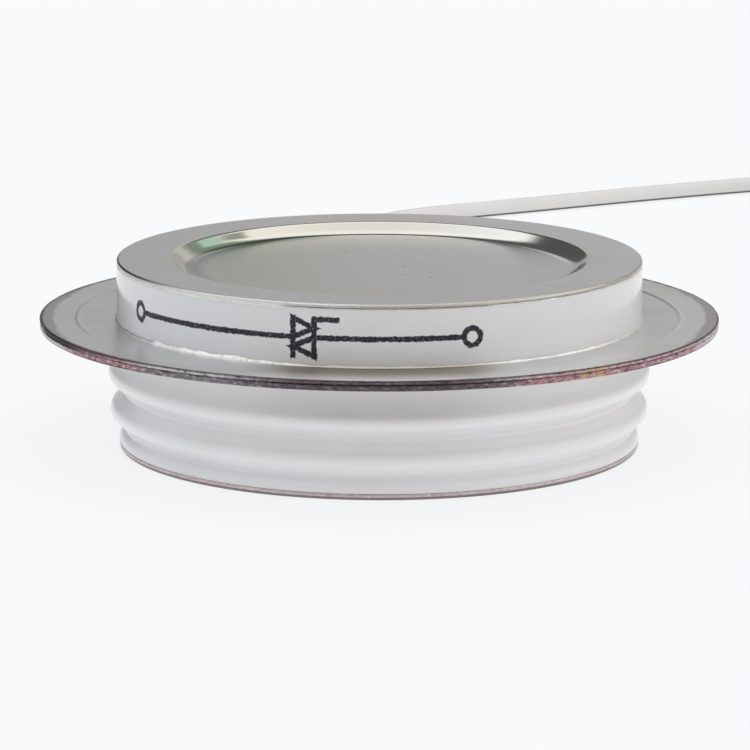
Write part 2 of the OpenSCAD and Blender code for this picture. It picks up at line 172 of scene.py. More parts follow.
class Bench:
    """A shader or geometry node tree that is built in code."""

    def __init__(self, tree: bpy.types.NodeTree) -> None:
        """Takes the node tree to build in."""
        self.tree = tree

    def node(
        self, kind: str, settings: dict | None = None, inputs: dict | None = None
    ) -> bpy.types.Node:
        """Adds a node.

        Args:
            kind: Blender's name of the node type.
            settings: Its properties.
            inputs: Values or links of its sockets, by name or number.

        Returns:
            The new node.
        """
        made = self.tree.nodes.new(kind)
        for name, value in (settings or {}).items():
            setattr(made, name, value)
        for key, value in (inputs or {}).items():
            socket = made.inputs[key]
            if isinstance(value, Field):
                self.tree.links.new(value.socket, socket)
            elif isinstance(value, Socket):
                self.tree.links.new(value, socket)
            elif value is not None:
                socket.default_value = value
        return made

    def field(self, kind: str, settings: dict | None = None, inputs: dict | None = None) -> Field:
        """Adds a node and wraps its first output."""
        return Field(self, self.node(kind, settings, inputs).outputs[0])

    def vector(self, operation: str, inputs: dict) -> Socket:
        """Adds a Vector Math node and gives its vector socket."""
        return self.node("ShaderNodeVectorMath", {"operation": operation}, inputs).outputs[0]

    def blend(self, share: Term, first: Colour | Socket, second: Colour | Socket) -> Socket:
        """Mixes two colours.

        Args:
            share: 0 gives the first colour and 1 the second.
            first: Colour or colour socket.
            second: Colour or colour socket.

        Returns:
            A colour socket.
        """
        inputs = {0: share, 6: self._colour(first), 7: self._colour(second)}
        settings = {"data_type": "RGBA", "clamp_factor": True}
        return self.node("ShaderNodeMix", settings, inputs).outputs[2]

    def coats(self, tone: Colour | Socket, *over: tuple[Term, Colour | Socket]) -> Socket:
        """Lays colours over a tone, one after the other.

        Args:
            tone: Colour or colour socket under them.
            over: Share and colour of each.

        Returns:
            A colour socket.
        """
        for share, colour in over:
            tone = self.blend(share, tone, colour)
        return tone

    @staticmethod
    def _colour(value: Colour | Socket) -> tuple | Socket:
        """A colour with its alpha, or the socket as it is."""
        return (*value, 1.0) if isinstance(value, tuple) else value


class Skin(Bench):
    """The node tree of one material, with the patterns that the finishes share."""

    def __init__(self, name: str) -> None:
        """Starts an empty material.

        Args:
            name: The material's name.
        """
        self.material = bpy.data.materials.new(name)
        self.material.use_nodes = True
        super().__init__(self.material.node_tree)
        self.tree.nodes.clear()
        coordinates = self.node("ShaderNodeTexCoord").outputs["Object"]
        self.place = self.vector("SCALE", {0: coordinates, "Scale": 1 / MM})
        apart = self.node("ShaderNodeSeparateXYZ", None, {0: self.place})
        self.x, self.y, self.z = (Field(self, out) for out in apart.outputs)

    def radius(self) -> Field:
        """Distance from the capsule's axis, in millimetres."""
        return (self.x * self.x + self.y * self.y).root()

    def stretched(self, x: float, y: float, z: float) -> Socket:
        """Place in millimetres with each axis scaled, as a vector socket."""
        return self.vector("MULTIPLY", {0: self.place, 1: (x, y, z)})

    def around(self, height: float = 1.0) -> Socket:
        """Place on a drum round the axis: direction from the axis, and height.

        Args:
            height: Scale of the height.

        Returns:
            A vector socket that has no seam.
        """
        r = self.radius().upper(0.01)
        axes = {0: self.x / r, 1: self.y / r, 2: self.z * height}
        return self.node("ShaderNodeCombineXYZ", None, axes).outputs[0]

    def noise(
        self, per_mm: float, detail: float = 2.0, place: Socket | None = None, rough: float = 0.5
    ) -> Field:
        """Soft random pattern around 0.5, of so many cells a millimetre."""
        inputs = {"Scale": per_mm, "Detail": detail, "Roughness": rough}
        return self.field("ShaderNodeTexNoise", None, {"Vector": place or self.place, **inputs})

    def specks(self, per_mm: float, size: float) -> Field:
        """Small scattered dots.

        Args:
            per_mm: How many cells one millimetre has.
            size: Radius of a dot, as a share of a cell.

        Returns:
            1 in a dot and 0 outside it. About one cell in four has a dot.
        """
        cells = self.node("ShaderNodeTexVoronoi", None, {"Vector": self.place, "Scale": per_mm})
        chosen = self.node("ShaderNodeSeparateColor", None, {0: cells.outputs["Color"]})
        near = Field(self, cells.outputs["Distance"]).rise(size, size * 0.5)
        return near * Field(self, chosen.outputs[0]).rise(0.72, 0.78)

    def bump(self, height: Field, depth_mm: float) -> Socket:
        """Fine relief, in which a height of 1 stands for a depth in millimetres."""
        inputs = {"Strength": 1.0, "Distance": depth_mm * MM, "Height": height}
        return self.node("ShaderNodeBump", None, inputs).outputs[0]

    def dress(
        self,
        tone: Colour | Socket,
        rough: Term,
        relief: Socket | None = None,
        varying: dict[str, Term] | None = None,
        **fixed: float | tuple,
    ) -> Material:
        """Ends the material in one Principled shader.

        Args:
            tone: Base colour.
            rough: Roughness.
            relief: Normal.
            varying: What else changes over the surface, by socket name.
            fixed: What is the same all over, set on the shader's own sockets, whose names
                are written with underscores.

        Returns:
            The finished material.
        """
        inputs = {"Base Color": self._colour(tone), "Roughness": rough, "Normal": relief}
        inputs |= varying or {}
        inputs |= {name.replace("_", " "): value for name, value in fixed.items()}
        shader = self.node("ShaderNodeBsdfPrincipled", None, inputs)
        self.node("ShaderNodeOutputMaterial", None, {"Surface": shader.outputs[0]})
        return self.material


# --- Finishes -------------------------------------------------------------------------


@dataclass(frozen=True)
class PlainMetal:
    """Bare or plated metal with a fine grain, faint stains and a few pits.

    Attributes:
        slot: The record's slot.
        colour: Clean colour.
        stain: Colour of the stains.
        gloss: Roughness.
        grain: Depth of the grain in millimetres.
        stained: Strength of the stains.
    """

    slot: Slot
    colour: Colour
    stain: Colour
    gloss: float = 0.3
    grain: float = 0.002
    stained: float = 0.35

    def make(self) -> Material:
        """Builds the material."""
        skin = Skin(self.slot.value)
        cloud = skin.noise(0.35, 4.0)
        fine = skin.noise(9.0, 3.0)
        colour = skin.blend(cloud.rise(0.45, 0.75) * self.stained, self.colour, self.stain)
        rough = self.gloss + (fine - 0.5) * 0.12 + cloud.rise(0.4, 0.7) * 0.06
        return skin.dress(colour, rough, skin.bump(fine, self.grain), Metallic=1.0)


@dataclass(frozen=True)
class CupNickel:
    """Satin nickel of a dished contact cup, polished where the sheet was bent.

    Attributes:
        slot: The record's slot.
        colour: Colour of the clean plating.
        rim_colour: Colour of the rim.
        edge_colour: Colour of the rounded outer edge.
        joint_colour: Colour of that edge towards the ceramic.
        floor_r: Radius of the flat floor.
        dish_r: Radius where the flat rim starts.
        rim_r: Radius of the outer edge.
        rim_z: Height of the flat rim.
        sheet: Height of the outer edge.
        soil_and_shade: Strength of the dirt spots on the edge and of the painted contact shade
            where the edge meets the flat rim.
    """

    slot: Slot
    colour: Colour
    rim_colour: Colour
    edge_colour: Colour
    joint_colour: Colour
    floor_r: float
    dish_r: float
    rim_r: float
    rim_z: float
    sheet: float
    soil_and_shade: float = 0.0

    def make(self) -> Material:
        """Builds the material."""
        skin = Skin(self.slot.value)
        r, x, soil_and_shade = skin.radius(), skin.x, self.soil_and_shade
        rim = r.rise(self.dish_r - 0.1, self.dish_r + 0.2)
        wall = r.rise(self.floor_r - 0.25, self.floor_r + 0.15)
        wall = wall * r.rise(self.dish_r + 0.2, self.dish_r - 0.1)
        edge = r.rise(self.rim_r - 0.3, self.rim_r - 0.1)
        depth = abs(skin.z - self.rim_z)
        cloud = skin.noise(0.09, 3.0)
        fine = skin.noise(6.0, 3.0)
        lapped = skin.noise(1.0, 3.0, skin.stretched(0.35, 6.0, 1.0), 0.6)
        scratch = skin.noise(1.0, 1.0, skin.stretched(0.08, 9.0, 1.0), 0.3).rise(0.69, 0.74)
        pits = skin.specks(0.32, 0.09)
        # The braze creeps up the edge on one side and leaves it dull on the other
        creep = skin.noise(1.1, 3.0, skin.around(0.3)) * 0.5 + x.rise(-8.0, -15.0) * 0.3
        joint = depth.rise(self.sheet * 0.45, self.sheet * 0.8) * creep.rise(0.44, 0.27)
        seam = depth.rise(self.sheet * 0.72, self.sheet * 0.9) * (1 - soil_and_shade)
        warm = skin.noise(0.5, 2.0, skin.around(0.1)).rise(0.5, 0.62)
        # Painted highlight: a light cream reflection on the front left of the rolled edge, left
        # out on the base
        bright = x.rise(2.0, -7.0) * x.rise(-27.5, -22.0) * skin.y.rise(0.0, -8.0)
        rolled = skin.coats(
            self.edge_colour,
            (warm * 0.5, (0.56, 0.45, 0.4)),
            (bright * (1.3 - soil_and_shade * 1.3), (0.87, 0.865, 0.825)),
        )
        bent = skin.blend(x.rise(0.0, 14.0), (0.63, 0.605, 0.545), (0.66, 0.655, 0.62))
        spots = skin.noise(1.6, 4.0, skin.stretched(1.0, 1.0, 2.0), 0.65)
        # Painted shade with a dark green painted reflection in the left of the dish's corner, and
        # painted contact shade as a dark line where the edge meets the flat rim, which on the base
        # runs along what it stands on
        soot_and_shade = r.rise(self.floor_r - 1.9, self.floor_r)
        soot_and_shade = soot_and_shade * r.rise(self.floor_r + 1.0, self.floor_r + 0.6)
        outer = depth.rise(0.2, 0.06) * x.rise(-21.0, -27.0) + soil_and_shade * depth.rise(0.38, 0.28)
        tone = skin.coats(
            self.colour,
            (rim, self.rim_colour),
            # Painted light: lighter towards the right; painted shade: darker and olive on the left
            # inside the dish
            (x.rise(-6.0, 27.0) * 0.7, (0.74, 0.73, 0.745)),
            ((1 - rim) * x.rise(0.0, -16.0) * 0.95, (0.54, 0.55, 0.485)),
            (rim * skin.y.rise(18.0, 26.0) * 0.7, (0.8, 0.74, 0.73)),
            (wall, bent),
            (cloud.rise(0.35, 0.7) * 0.35, (0.60, 0.585, 0.545)),
            (pits * 0.75, (0.16, 0.15, 0.14)),
            (edge, rolled),
            (edge * joint, self.joint_colour),
            (edge * seam * 0.9, self.joint_colour),
            (edge * spots.rise(0.52, 0.66) * soil_and_shade, (0.63, 0.585, 0.56)),
            (edge * spots.rise(0.46, 0.34) * soil_and_shade * 0.7, (0.38, 0.27, 0.29)),
            (soot_and_shade * x.rise(-3.0, -11.0) * 0.9, (0.21, 0.27, 0.215)),
            (edge * outer * 0.8, (0.13, 0.12, 0.12)),
        )
        flat_gloss = 0.28 + (lapped - 0.5) * 0.03 + (fine - 0.5) * 0.03 + scratch * 0.04
        flat_gloss = flat_gloss - r.rise(self.floor_r - 2.2, self.floor_r) * (1 - rim) * 0.08
        gloss = flat_gloss * (1 - wall) + wall * (0.12 + (cloud - 0.5) * 0.04)
        height = (lapped * 0.4 + fine * 0.4 - scratch * 0.4 - pits * 1.5) * (1 - wall * 0.9)
        return skin.dress(tone, gloss, skin.bump(height, 0.0004), Metallic=1.0)


@dataclass(frozen=True)
class BrimNickel:
    """Satin nickel of the brim, heat tinted along the weld, with bare copper at the edge.

    Attributes:
        slot: The record's slot.
        brim_r: Radius of the brim's edge.
        step_r: Radius of the pressed line.
        foot_r: Radius of the band that stands on it.
        seam_z: Height of the welded joint between the two sheets.
        top_z: Height of the brim's upper edge.
        low_z: Height of the brim's lower edge.
        tint_w: Width of the tinted border at its widest.
    """

    slot: Slot
    brim_r: float
    step_r: float
    foot_r: float
    seam_z: float
    top_z: float
    low_z: float
    tint_w: float = 1.5

    def make(self) -> Material:
        """Builds the material."""
        skin = Skin(self.slot.value)
        r = skin.radius()
        around = skin.around(0.2)
        cloud = skin.noise(0.16, 4.0)
        fine = skin.noise(5.0, 3.0)
        lapped = skin.noise(1.0, 3.0, skin.stretched(0.5, 4.0, 1.0), 0.6)
        side = skin.x / r
        far = abs(side).rise(0.8, 0.93)
        front = (-skin.y / r).rise(0.88, 0.985)
        back = (skin.y / r).rise(0.05, 0.7)
        ragged = (skin.noise(0.9, 4.0) - 0.5) * 0.9 + (skin.noise(3.0, 2.0, around) - 0.5) * 1.2
        inward = self.brim_r - r + ragged - abs(side).rise(0.86, 0.995) * (self.tint_w - 0.4)
        tint = inward.rise(0.65, 0.1)
        inner = r.rise(self.step_r + 0.1, self.step_r - 0.3)
        # Painted shade in front of the band: a brownish painted reflection of the band's shaded
        # foot, and by the bead a painted shadow line mixed with brown tint
        front_shade_reflection = front * r.rise(self.foot_r + 9.5, self.foot_r + 2.5)
        shadow_line_and_tint = front * r.rise(self.foot_r + 1.2, self.foot_r + 0.5) * fine.rise(0.4, 0.56)
        # Soot of the weld along the very edge, most at the left and at the back
        width = side.rise(-0.7, -0.95) * 0.25 + back * 0.55 + 0.28
        soot_and_shade = ((self.brim_r - r + ragged * 0.35) / width).rise(1.0, 0.35)
        dark = (side.rise(-0.55, -0.9) + side.rise(0.75, 1.0) * 0.3 + back).lower(1.0)
        edge = r.rise(self.brim_r - 0.3, self.brim_r - 0.14)
        rough_line = (skin.noise(4.5, 4.0, None, 0.7) - 0.5) * 0.34
        height = skin.z + rough_line
        copper = side.rise(0.28, 0.45) * side.rise(0.96, 0.88)
        copper = copper + side.rise(-0.62, -0.72) * side.rise(-0.92, -0.84)
        hue = skin.noise(2.6, 3.0, around)
        copper = (copper * 0.8 + skin.noise(1.3, 2.0, around).rise(0.56, 0.66) * 0.5) * (1 - front)
        under = skin.z.rise(self.seam_z + 0.04, self.seam_z - 0.04)
        speck = skin.noise(6.0, 4.0, None, 0.7).rise(0.5, 0.6)
        mottle = skin.noise(1.5, 4.0, skin.stretched(1.0, 1.0, 2.2), 0.65)
        brass = side.rise(0.54, 0.57) * side.rise(0.65, 0.62) * mottle.rise(0.42, 0.52)
        weld = abs(height - self.seam_z).rise(0.16, 0.03) * (0.1 + front * 0.65)
        # Painted shade: a dark line along the top of the brim's edge, wider on the left
        edge_shade_height = height + side.rise(-0.6, -0.9) * 0.22
        rim = edge_shade_height.rise(self.top_z - 0.2, self.top_z - 0.1)
        scorch = side.rise(-0.83, -0.9) * side.rise(-0.985, -0.96)
        scorch = scorch * height.rise(self.seam_z - 0.3, self.seam_z - 0.1)
        low = skin.z.rise(self.low_z + 0.2, self.low_z + 0.1) * abs(side).rise(0.6, 0.75)
        burnt = skin.coats(
            (0.6, 0.585, 0.6),
            (front, (0.2, 0.15, 0.18)),
            (under * (1 - far) * 0.8, (0.15, 0.135, 0.15)),
            (copper * (0.7 + hue * 0.4), (0.5, 0.265, 0.295)),
            (speck * 0.4 * (1 - far * 0.7), (0.1, 0.07, 0.085)),
            (mottle.rise(0.46, 0.36) * 0.8, (0.08, 0.055, 0.065)),
            (mottle.rise(0.54, 0.66) * (1 - front * 0.75), (0.66, 0.6, 0.61)),
            (brass * 0.7, (0.6, 0.42, 0.22)),
            (weld, (0.035, 0.025, 0.033)),
            (rim * 0.85 * (1 - front * 0.4), (0.05, 0.037, 0.042)),
            (scorch * 0.92, (0.03, 0.022, 0.025)),
            (low * 0.85, (0.05, 0.045, 0.05)),
        )
        tone = skin.coats(
            (0.735, 0.73, 0.735),
            # Painted light: the brim lighter towards the right
            (skin.x.rise(-20.0, 32.0), (0.785, 0.785, 0.785)),
            (inner * 0.4, (0.68, 0.7, 0.715)),
            (cloud.rise(0.4, 0.75) * 0.35, (0.6, 0.58, 0.51)),
            (front_shade_reflection * 0.84, (0.25, 0.22, 0.155)),
            (shadow_line_and_tint * 0.85, (0.2, 0.115, 0.065)),
            (tint * 0.8, (0.42, 0.365, 0.36)),
            (soot_and_shade * dark * 0.88, (0.06, 0.052, 0.053)),
            (edge, burnt),
        )
        gloss = 0.3 + (lapped - 0.5) * 0.1 + tint * 0.07 + edge * 0.16 + front * 0.22
        relief = skin.bump(lapped * 0.4 + fine * 0.4 + edge * speck * 4.0, 0.0022)
        return skin.dress(tone, gloss, relief, Metallic=1.0)


@dataclass(frozen=True)
class Mark:
    """Generic print on the band: a triac's circuit symbol between two terminal rings.

    Attributes:
        radius: Radius of the band.
        middle_z: Height of the line.
        centre: Place of the symbol along the band, from the front, in millimetres.
        left: Left end of the line.
        right: Right end of the line.
        size: Half height of the symbol.
        ring: Radius of a terminal ring.
        pen: Half width of a stroke.
    """

    radius: float
    middle_z: float
    centre: float = -8.0
    left: float = -22.5
    right: float = 17.0
    size: float = 2.0
    ring: float = 0.9
    pen: float = 0.29

    def ink(self, skin: Skin) -> Field:
        """Draws the print.

        Args:
            skin: The band's material.

        Returns:
            Strength of the ink, from 0 to 1.
        """
        angle = skin.x.maths("ARCTAN2", skin.x, -skin.y)
        s = angle * self.radius - self.centre
        z = skin.z - self.middle_z
        smear = (skin.noise(2.4, 3.0) - 0.5) * 0.34
        pen = self.pen + smear
        wide = self.size * 1.15
        # Two opposed triangles, each between its two bars
        upper = self._triangle(s, z - self.size * 0.5, wide, 1)
        lower = self._triangle(s, z + self.size * 0.5, wide, -1)
        strokes = upper.lower(lower)
        for side in (-1, 1):
            bar = self._box(s - side * wide * 0.5, z, 0.0, self.size)
            strokes = strokes.lower(bar)
        for start, stop in ((self.left, -wide / 2), (wide / 2, self.right)):
            line = self._box(s - (start + stop) / 2, z, (stop - start) / 2, 0.0)
            strokes = strokes.lower(line)
        for end in (self.left - self.ring, self.right + self.ring):
            ring = abs(((s - end) * (s - end) + z * z).root() - self.ring)
            strokes = strokes.lower(ring)
        gate = self._box(s - wide * 0.5 - 1.2, z - self.size * 0.98, 1.2, 0.0)
        strokes = strokes.lower(gate)
        dry = skin.noise(5.0, 3.0).rise(0.68, 0.56)
        return (strokes - pen).rise(0.07, -0.05) * (0.8 + dry * 0.2) * skin.y.rise(0.0, -0.5)

    def _triangle(self, s: Field, z: Field, wide: float, way: int) -> Field:
        """Distance from the outline of a triangle that points along the band.

        Args:
            s: Place along the band.
            z: Height from the triangle's middle line.
            wide: Its length.
            way: 1 to point right, -1 to point left.

        Returns:
            The distance in millimetres.
        """
        along = s * way + wide * 0.5
        half = self.size * 0.5
        slope = math.hypot(wide, half)
        side = (abs(z) * wide + along * half - half * wide) / slope
        return abs(side.upper(-along))

    @staticmethod
    def _box(s: Field, z: Field, half_s: float, half_z: float) -> Field:
        """Distance from a straight stroke about the origin, given half its length and height."""
        return (abs(s) - half_s).upper(abs(z) - half_z)


@dataclass(frozen=True)
class GlazedCeramic:
    """White alumina under a clear glaze.

    Attributes:
        slot: The record's slot.
        colour: Colour of the body.
        shade: Colour of faint clouds in it.
        ends: Two heights between which the glaze is clean; soot and flux lie beyond.
        mark: Print on it, if any.
        gloss: Roughness of the glaze.
        under_brim_shade: Heights between which the glaze darkens towards the brim, painted shade
            of the brim, if it does.
        wear_and_shade: Radii between which the crests get a darker colour, painted shade that
            evens out their lighting, if they do.
    """

    slot: Slot
    colour: Colour
    shade: Colour
    ends: tuple[float, float]
    mark: Mark | None = None
    gloss: float = 0.16
    under_brim_shade: tuple[float, float] | None = None
    wear_and_shade: tuple[float, float] | None = None

    def make(self) -> Material:
        """Builds the material."""
        skin = Skin(self.slot.value)
        cloud = skin.noise(0.12, 3.0)
        peel = skin.noise(0.55, 2.0)
        fine = skin.noise(4.0, 3.0)
        grey = skin.specks(0.55, 0.06)
        low, high = self.ends
        soil = skin.z.rise(low + 0.25, low) + skin.z.rise(high - 0.25, high)
        soil = soil * skin.noise(1.8, 4.0).rise(0.4, 0.65)
        tone = skin.coats(
            self.colour,
            (cloud.rise(0.4, 0.7) * 0.5, self.shade),
            (grey * 0.35, (0.45, 0.42, 0.4)),
            (soil * 0.3, (0.55, 0.5, 0.47)),
        )
        if self.under_brim_shade:
            # Painted shade: darker towards the top, under the brim
            tone = skin.blend(skin.z.rise(*self.under_brim_shade) * 0.75, tone, (0.765, 0.75, 0.75))
        if self.wear_and_shade:
            # Painted shade: crests darker, less so on the left, and the ceramic darker towards the
            # bottom
            dull = skin.radius().rise(*self.wear_and_shade) * skin.z.rise(8.8, 6.8)
            dull = dull * (1 - skin.x.rise(-8.0, -26.0) * 0.5)
            foot = skin.z.rise(3.2, 1.6) * 0.9
            crest_shade, foot_shade = (0.765, 0.765, 0.775), (0.735, 0.735, 0.75)
            tone = skin.coats(tone, (dull * 0.85, crest_shade), (foot, foot_shade))
        rough = self.gloss + (peel - 0.5) * 0.1 + soil * 0.15
        coat: Term = 0.35 + (cloud - 0.5) * 0.2
        relief = peel * 0.7 + fine * 0.08
        film: Term = 0.0
        if self.mark:
            ink = self.mark.ink(skin)
            dye = skin.blend(skin.noise(0.5, 2.0), (0.004, 0.002, 0.009), (0.01, 0.006, 0.022))
            tone = skin.blend(ink * 0.98, tone, dye)
            rough = rough + ink * 0.3
            coat = coat * (1 - ink)
            relief = relief + ink * 0.6
            # Dry ink mirrors less than the glaze
            film = ink * 0.55
        return skin.dress(
            tone,
            rough,
            skin.bump(relief, 0.004),
            {"Metallic": film, "Coat Weight": coat},
            Coat_Roughness=self.gloss * 0.7,
            IOR=1.55,
            Subsurface_Weight=0.35,
            Subsurface_Radius=(1.0, 0.95, 0.9),
            Subsurface_Scale=1.5 * MM,
        )


@dataclass(frozen=True)
class Plastic:
    """Moulded or extruded plastic, rubber or insulation.

    Attributes:
        slot: The record's slot.
        colour: Its colour.
        shade: Colour of faint clouds in it.
        gloss: Roughness.
        grain: Depth of the surface's grain in millimetres.
        soil_and_shade: Strength of the painted shade on what faces down.
    """

    slot: Slot
    colour: Colour
    shade: Colour
    gloss: float = 0.45
    grain: float = 0.004
    soil_and_shade: float = 0.0

    def make(self) -> Material:
        """Builds the material."""
        skin = Skin(self.slot.value)
        cloud = skin.noise(0.3, 3.0)
        fine = skin.noise(4.5, 3.0)
        dust = skin.specks(1.1, 0.1)
        tone = skin.blend(cloud.rise(0.4, 0.7) * 0.6, self.colour, self.shade)
        tone = skin.blend(dust * 0.3, tone, (0.35, 0.33, 0.3))
        if self.soil_and_shade:
            facing = skin.node("ShaderNodeNewGeometry").outputs["Normal"]
            down = Field(skin, skin.node("ShaderNodeSeparateXYZ", None, {0: facing}).outputs[2])
            # Painted shade: darker on what faces down
            tone = skin.blend(down.rise(-0.55, -0.72) * self.soil_and_shade, tone, (0.06, 0.06, 0.06))
        rough = self.gloss + (fine - 0.5) * 0.15
        return skin.dress(tone, rough, skin.bump(fine, self.grain))


@dataclass(frozen=True)
class Wafer:
    """Polished silicon under metal, with faint rings of its junction bevel.

    Attributes:
        slot: The record's slot.
    """

    slot: Slot

    def make(self) -> Material:
        """Builds the material."""
        skin = Skin(self.slot.value)
        r = skin.radius()
        ring = (r * 9.0).maths("SINE", r * 9.0) * 0.5 + 0.5
        film = r.rise(17.5, 19.5)
        tone = skin.blend(film, (0.55, 0.55, 0.56), (0.16, 0.17, 0.22))
        tone = skin.blend(ring * film * 0.3, tone, (0.26, 0.22, 0.34))
        fine = skin.noise(5.0, 2.0)
        rough = 0.22 - film * 0.1 + (fine - 0.5) * 0.08
        return skin.dress(tone, rough, skin.bump(fine, 0.001), Metallic=0.9)


@dataclass(frozen=True)
class Braze:
    """Bright braze or solder, frozen in small lumps.

    Attributes:
        slot: The record's slot.
    """

    slot: Slot

    def make(self) -> Material:
        """Builds the material."""
        skin = Skin(self.slot.value)
        lumps = skin.noise(1.9, 4.0)
        fine = skin.noise(8.0, 2.0)
        tone = skin.blend(lumps.rise(0.5, 0.75) * 0.7, (0.8, 0.8, 0.77), (0.52, 0.48, 0.43))
        dull = skin.x.rise(-11.0, -6.0) * skin.x.rise(14.0, 9.0)
        tone = skin.blend(dull * 0.7, tone, (0.45, 0.42, 0.37))
        rough = 0.32 + (fine - 0.5) * 0.2 + lumps.rise(0.5, 0.7) * 0.1
        relief = skin.bump(lumps * 0.8 + fine * 0.2, 0.05)
        return skin.dress(tone, rough, relief, Metallic=1.0)


# --- Shapes ---------------------------------------------------------------------------


def arc(centre: Point, radius: float, start: float, end: float, steps: int = 14) -> list[Point]:
    """Points of an arc.

    Args:
        centre: Its centre.
        radius: Its radius.
        start: First angle in degrees.
        end: Last angle in degrees.
        steps: Number of chords.

    Returns:
        The points, both ends among them.
    """
    x, y = centre
    turns = [math.radians(start + (end - start) * i / steps) for i in range(steps + 1)]
    return [(x + radius * math.cos(a), y + radius * math.sin(a)) for a in turns]


def rounded(corners: Sequence[Point | Corner], steps: int = 4) -> list[Point]:
    """Rounds the corners of a closed line.

    Args:
        corners: Points, with a third number where a corner has a radius.
        steps: Chords of each rounding.

    Returns:
        The closed line's points.
    """
    line: list[Point] = []
    for i, corner in enumerate(corners):
        radius = corner[2] if len(corner) > 2 else 0.0
        here = Vector(corner[:2])
        if not radius:
            line.append((here.x, here.y))
            continue
        back = (Vector(corners[i - 1][:2]) - here).normalized()
        ahead = (Vector(corners[(i + 1) % len(corners)][:2]) - here).normalized()
        half = back.angle(ahead) / 2
        centre = here + (back + ahead).normalized() * radius / math.sin(half)
        first = here + back * radius / math.tan(half) - centre
        last = here + ahead * radius / math.tan(half) - centre
        turn = math.atan2(first.x * last.y - first.y * last.x, first.dot(last))
        for k in range(steps + 1):
            a = math.atan2(first.y, first.x) + turn * k / steps
            line.append((centre.x + radius * math.cos(a), centre.y + radius * math.sin(a)))
    return line


def guarded(line: Sequence[Point], gap: float = 0.07) -> list[Point]:
    """Adds a point near both ends of each long straight run, so that it shades flat.

    Args:
        line: A closed line.
        gap: Distance of the added points from the ends.

    Returns:
        The line with the added points.
    """
    out: list[Point] = []
    for here, ahead in zip(line, [*line[1:], line[0]]):
        out.append(here)
        a, b = Vector(here), Vector(ahead)
        run = (b - a).length
        if run > 5 * gap:
            for share in (gap / run, 1 - gap / run):
                point = a.lerp(b, share)
                out.append((point.x, point.y))
    return out


def wobble(angle: Array, waves: Sequence[int], seed: int) -> Array:
    """Seamless unevenness round a circle.

    Args:
        angle: Angles in radians.
        waves: How many waves each layer has in a full turn.
        seed: Seed of the layers' phases.

    Returns:
        Values of about -1 to 1.
    """
    phases = np.random.default_rng(seed).uniform(0, 2 * math.pi, len(waves))
    layers = [np.sin(n * angle + p) for n, p in zip(waves, phases)]
    return sum(layers) / math.sqrt(len(waves))


def placed(name: str, data: bpy.types.ID) -> Object:
    """Puts a new object in the scene.

    Args:
        name: Its name.
        data: Its mesh, curve or camera.

    Returns:
        The object.
    """
    made = bpy.data.objects.new(name, data)
    bpy.context.scene.collection.objects.link(made)
    return made


def gate_line(height: float) -> Matrix:
    """Turn of the lathe's axis to a level line towards +Y."""
    return Matrix.Translation((0, 0, height * MM)) @ Matrix.Rotation(-math.pi / 2, 4, "X")


@dataclass(frozen=True)
class Lathe:
    """Turns closed half sections into closed meshes.

    Attributes:
        segments: Faces round the axis.
        crease: Angle in degrees above which an edge stays sharp.
    """

    segments: int = 256
    crease: float = 34.0

    def turn(
        self,
        name: str,
        line: Sequence[Point],
        shape: Shape | None = None,
        place: Matrix | None = None,
    ) -> Object:
        """Turns a section about Z.

        Args:
            name: Name of the new piece.
            line: Closed line of (radius, height) in millimetres.
            shape: Moves points, from arrays of angle, radius and height, to radius, height.
            place: Where the piece goes, from the lathe's axes.

        Returns:
            The new object, at the origin.
        """
        mesh = bmesh.new()
        angles = np.arange(self.segments) * 2 * math.pi / self.segments
        rings: list[list[bmesh.types.BMVert]] = []
        for r, z in line:
            if r < ON_AXIS:
                rings.append([mesh.verts.new((0, 0, z * MM))] * self.segments)
                continue
            radii, heights = np.full_like(angles, r), np.full_like(angles, z)
            if shape:
                radii, heights = shape(angles, radii, heights)
            rings.append(
                [
                    mesh.verts.new((q * math.cos(a) * MM, q * math.sin(a) * MM, h * MM))
                    for a, q, h in zip(angles, radii, heights)
                ]
            )
        for ring, after in zip(rings, [*rings[1:], rings[0]]):
            for j in range(self.segments):
                k = (j + 1) % self.segments
                corners = list(dict.fromkeys((ring[j], ring[k], after[k], after[j])))
                if len(corners) > 2:
                    mesh.faces.new(corners)
        if place:
            mesh.transform(place)
        bmesh.ops.recalc_face_normals(mesh, faces=mesh.faces)
        data = bpy.data.meshes.new(name)
        mesh.to_mesh(data)
        mesh.free()
        return self.link(name, data)

    def link(self, name: str, data: bpy.types.Mesh) -> Object:
        """Puts a mesh in the scene, smooth between its sharp edges.

        Args:
            name: Name of the object.
            data: Its mesh.

        Returns:
            The new object.
        """
        data.shade_smooth()
        data.set_sharp_from_angle(angle=math.radians(self.crease))
        return placed(name, data)


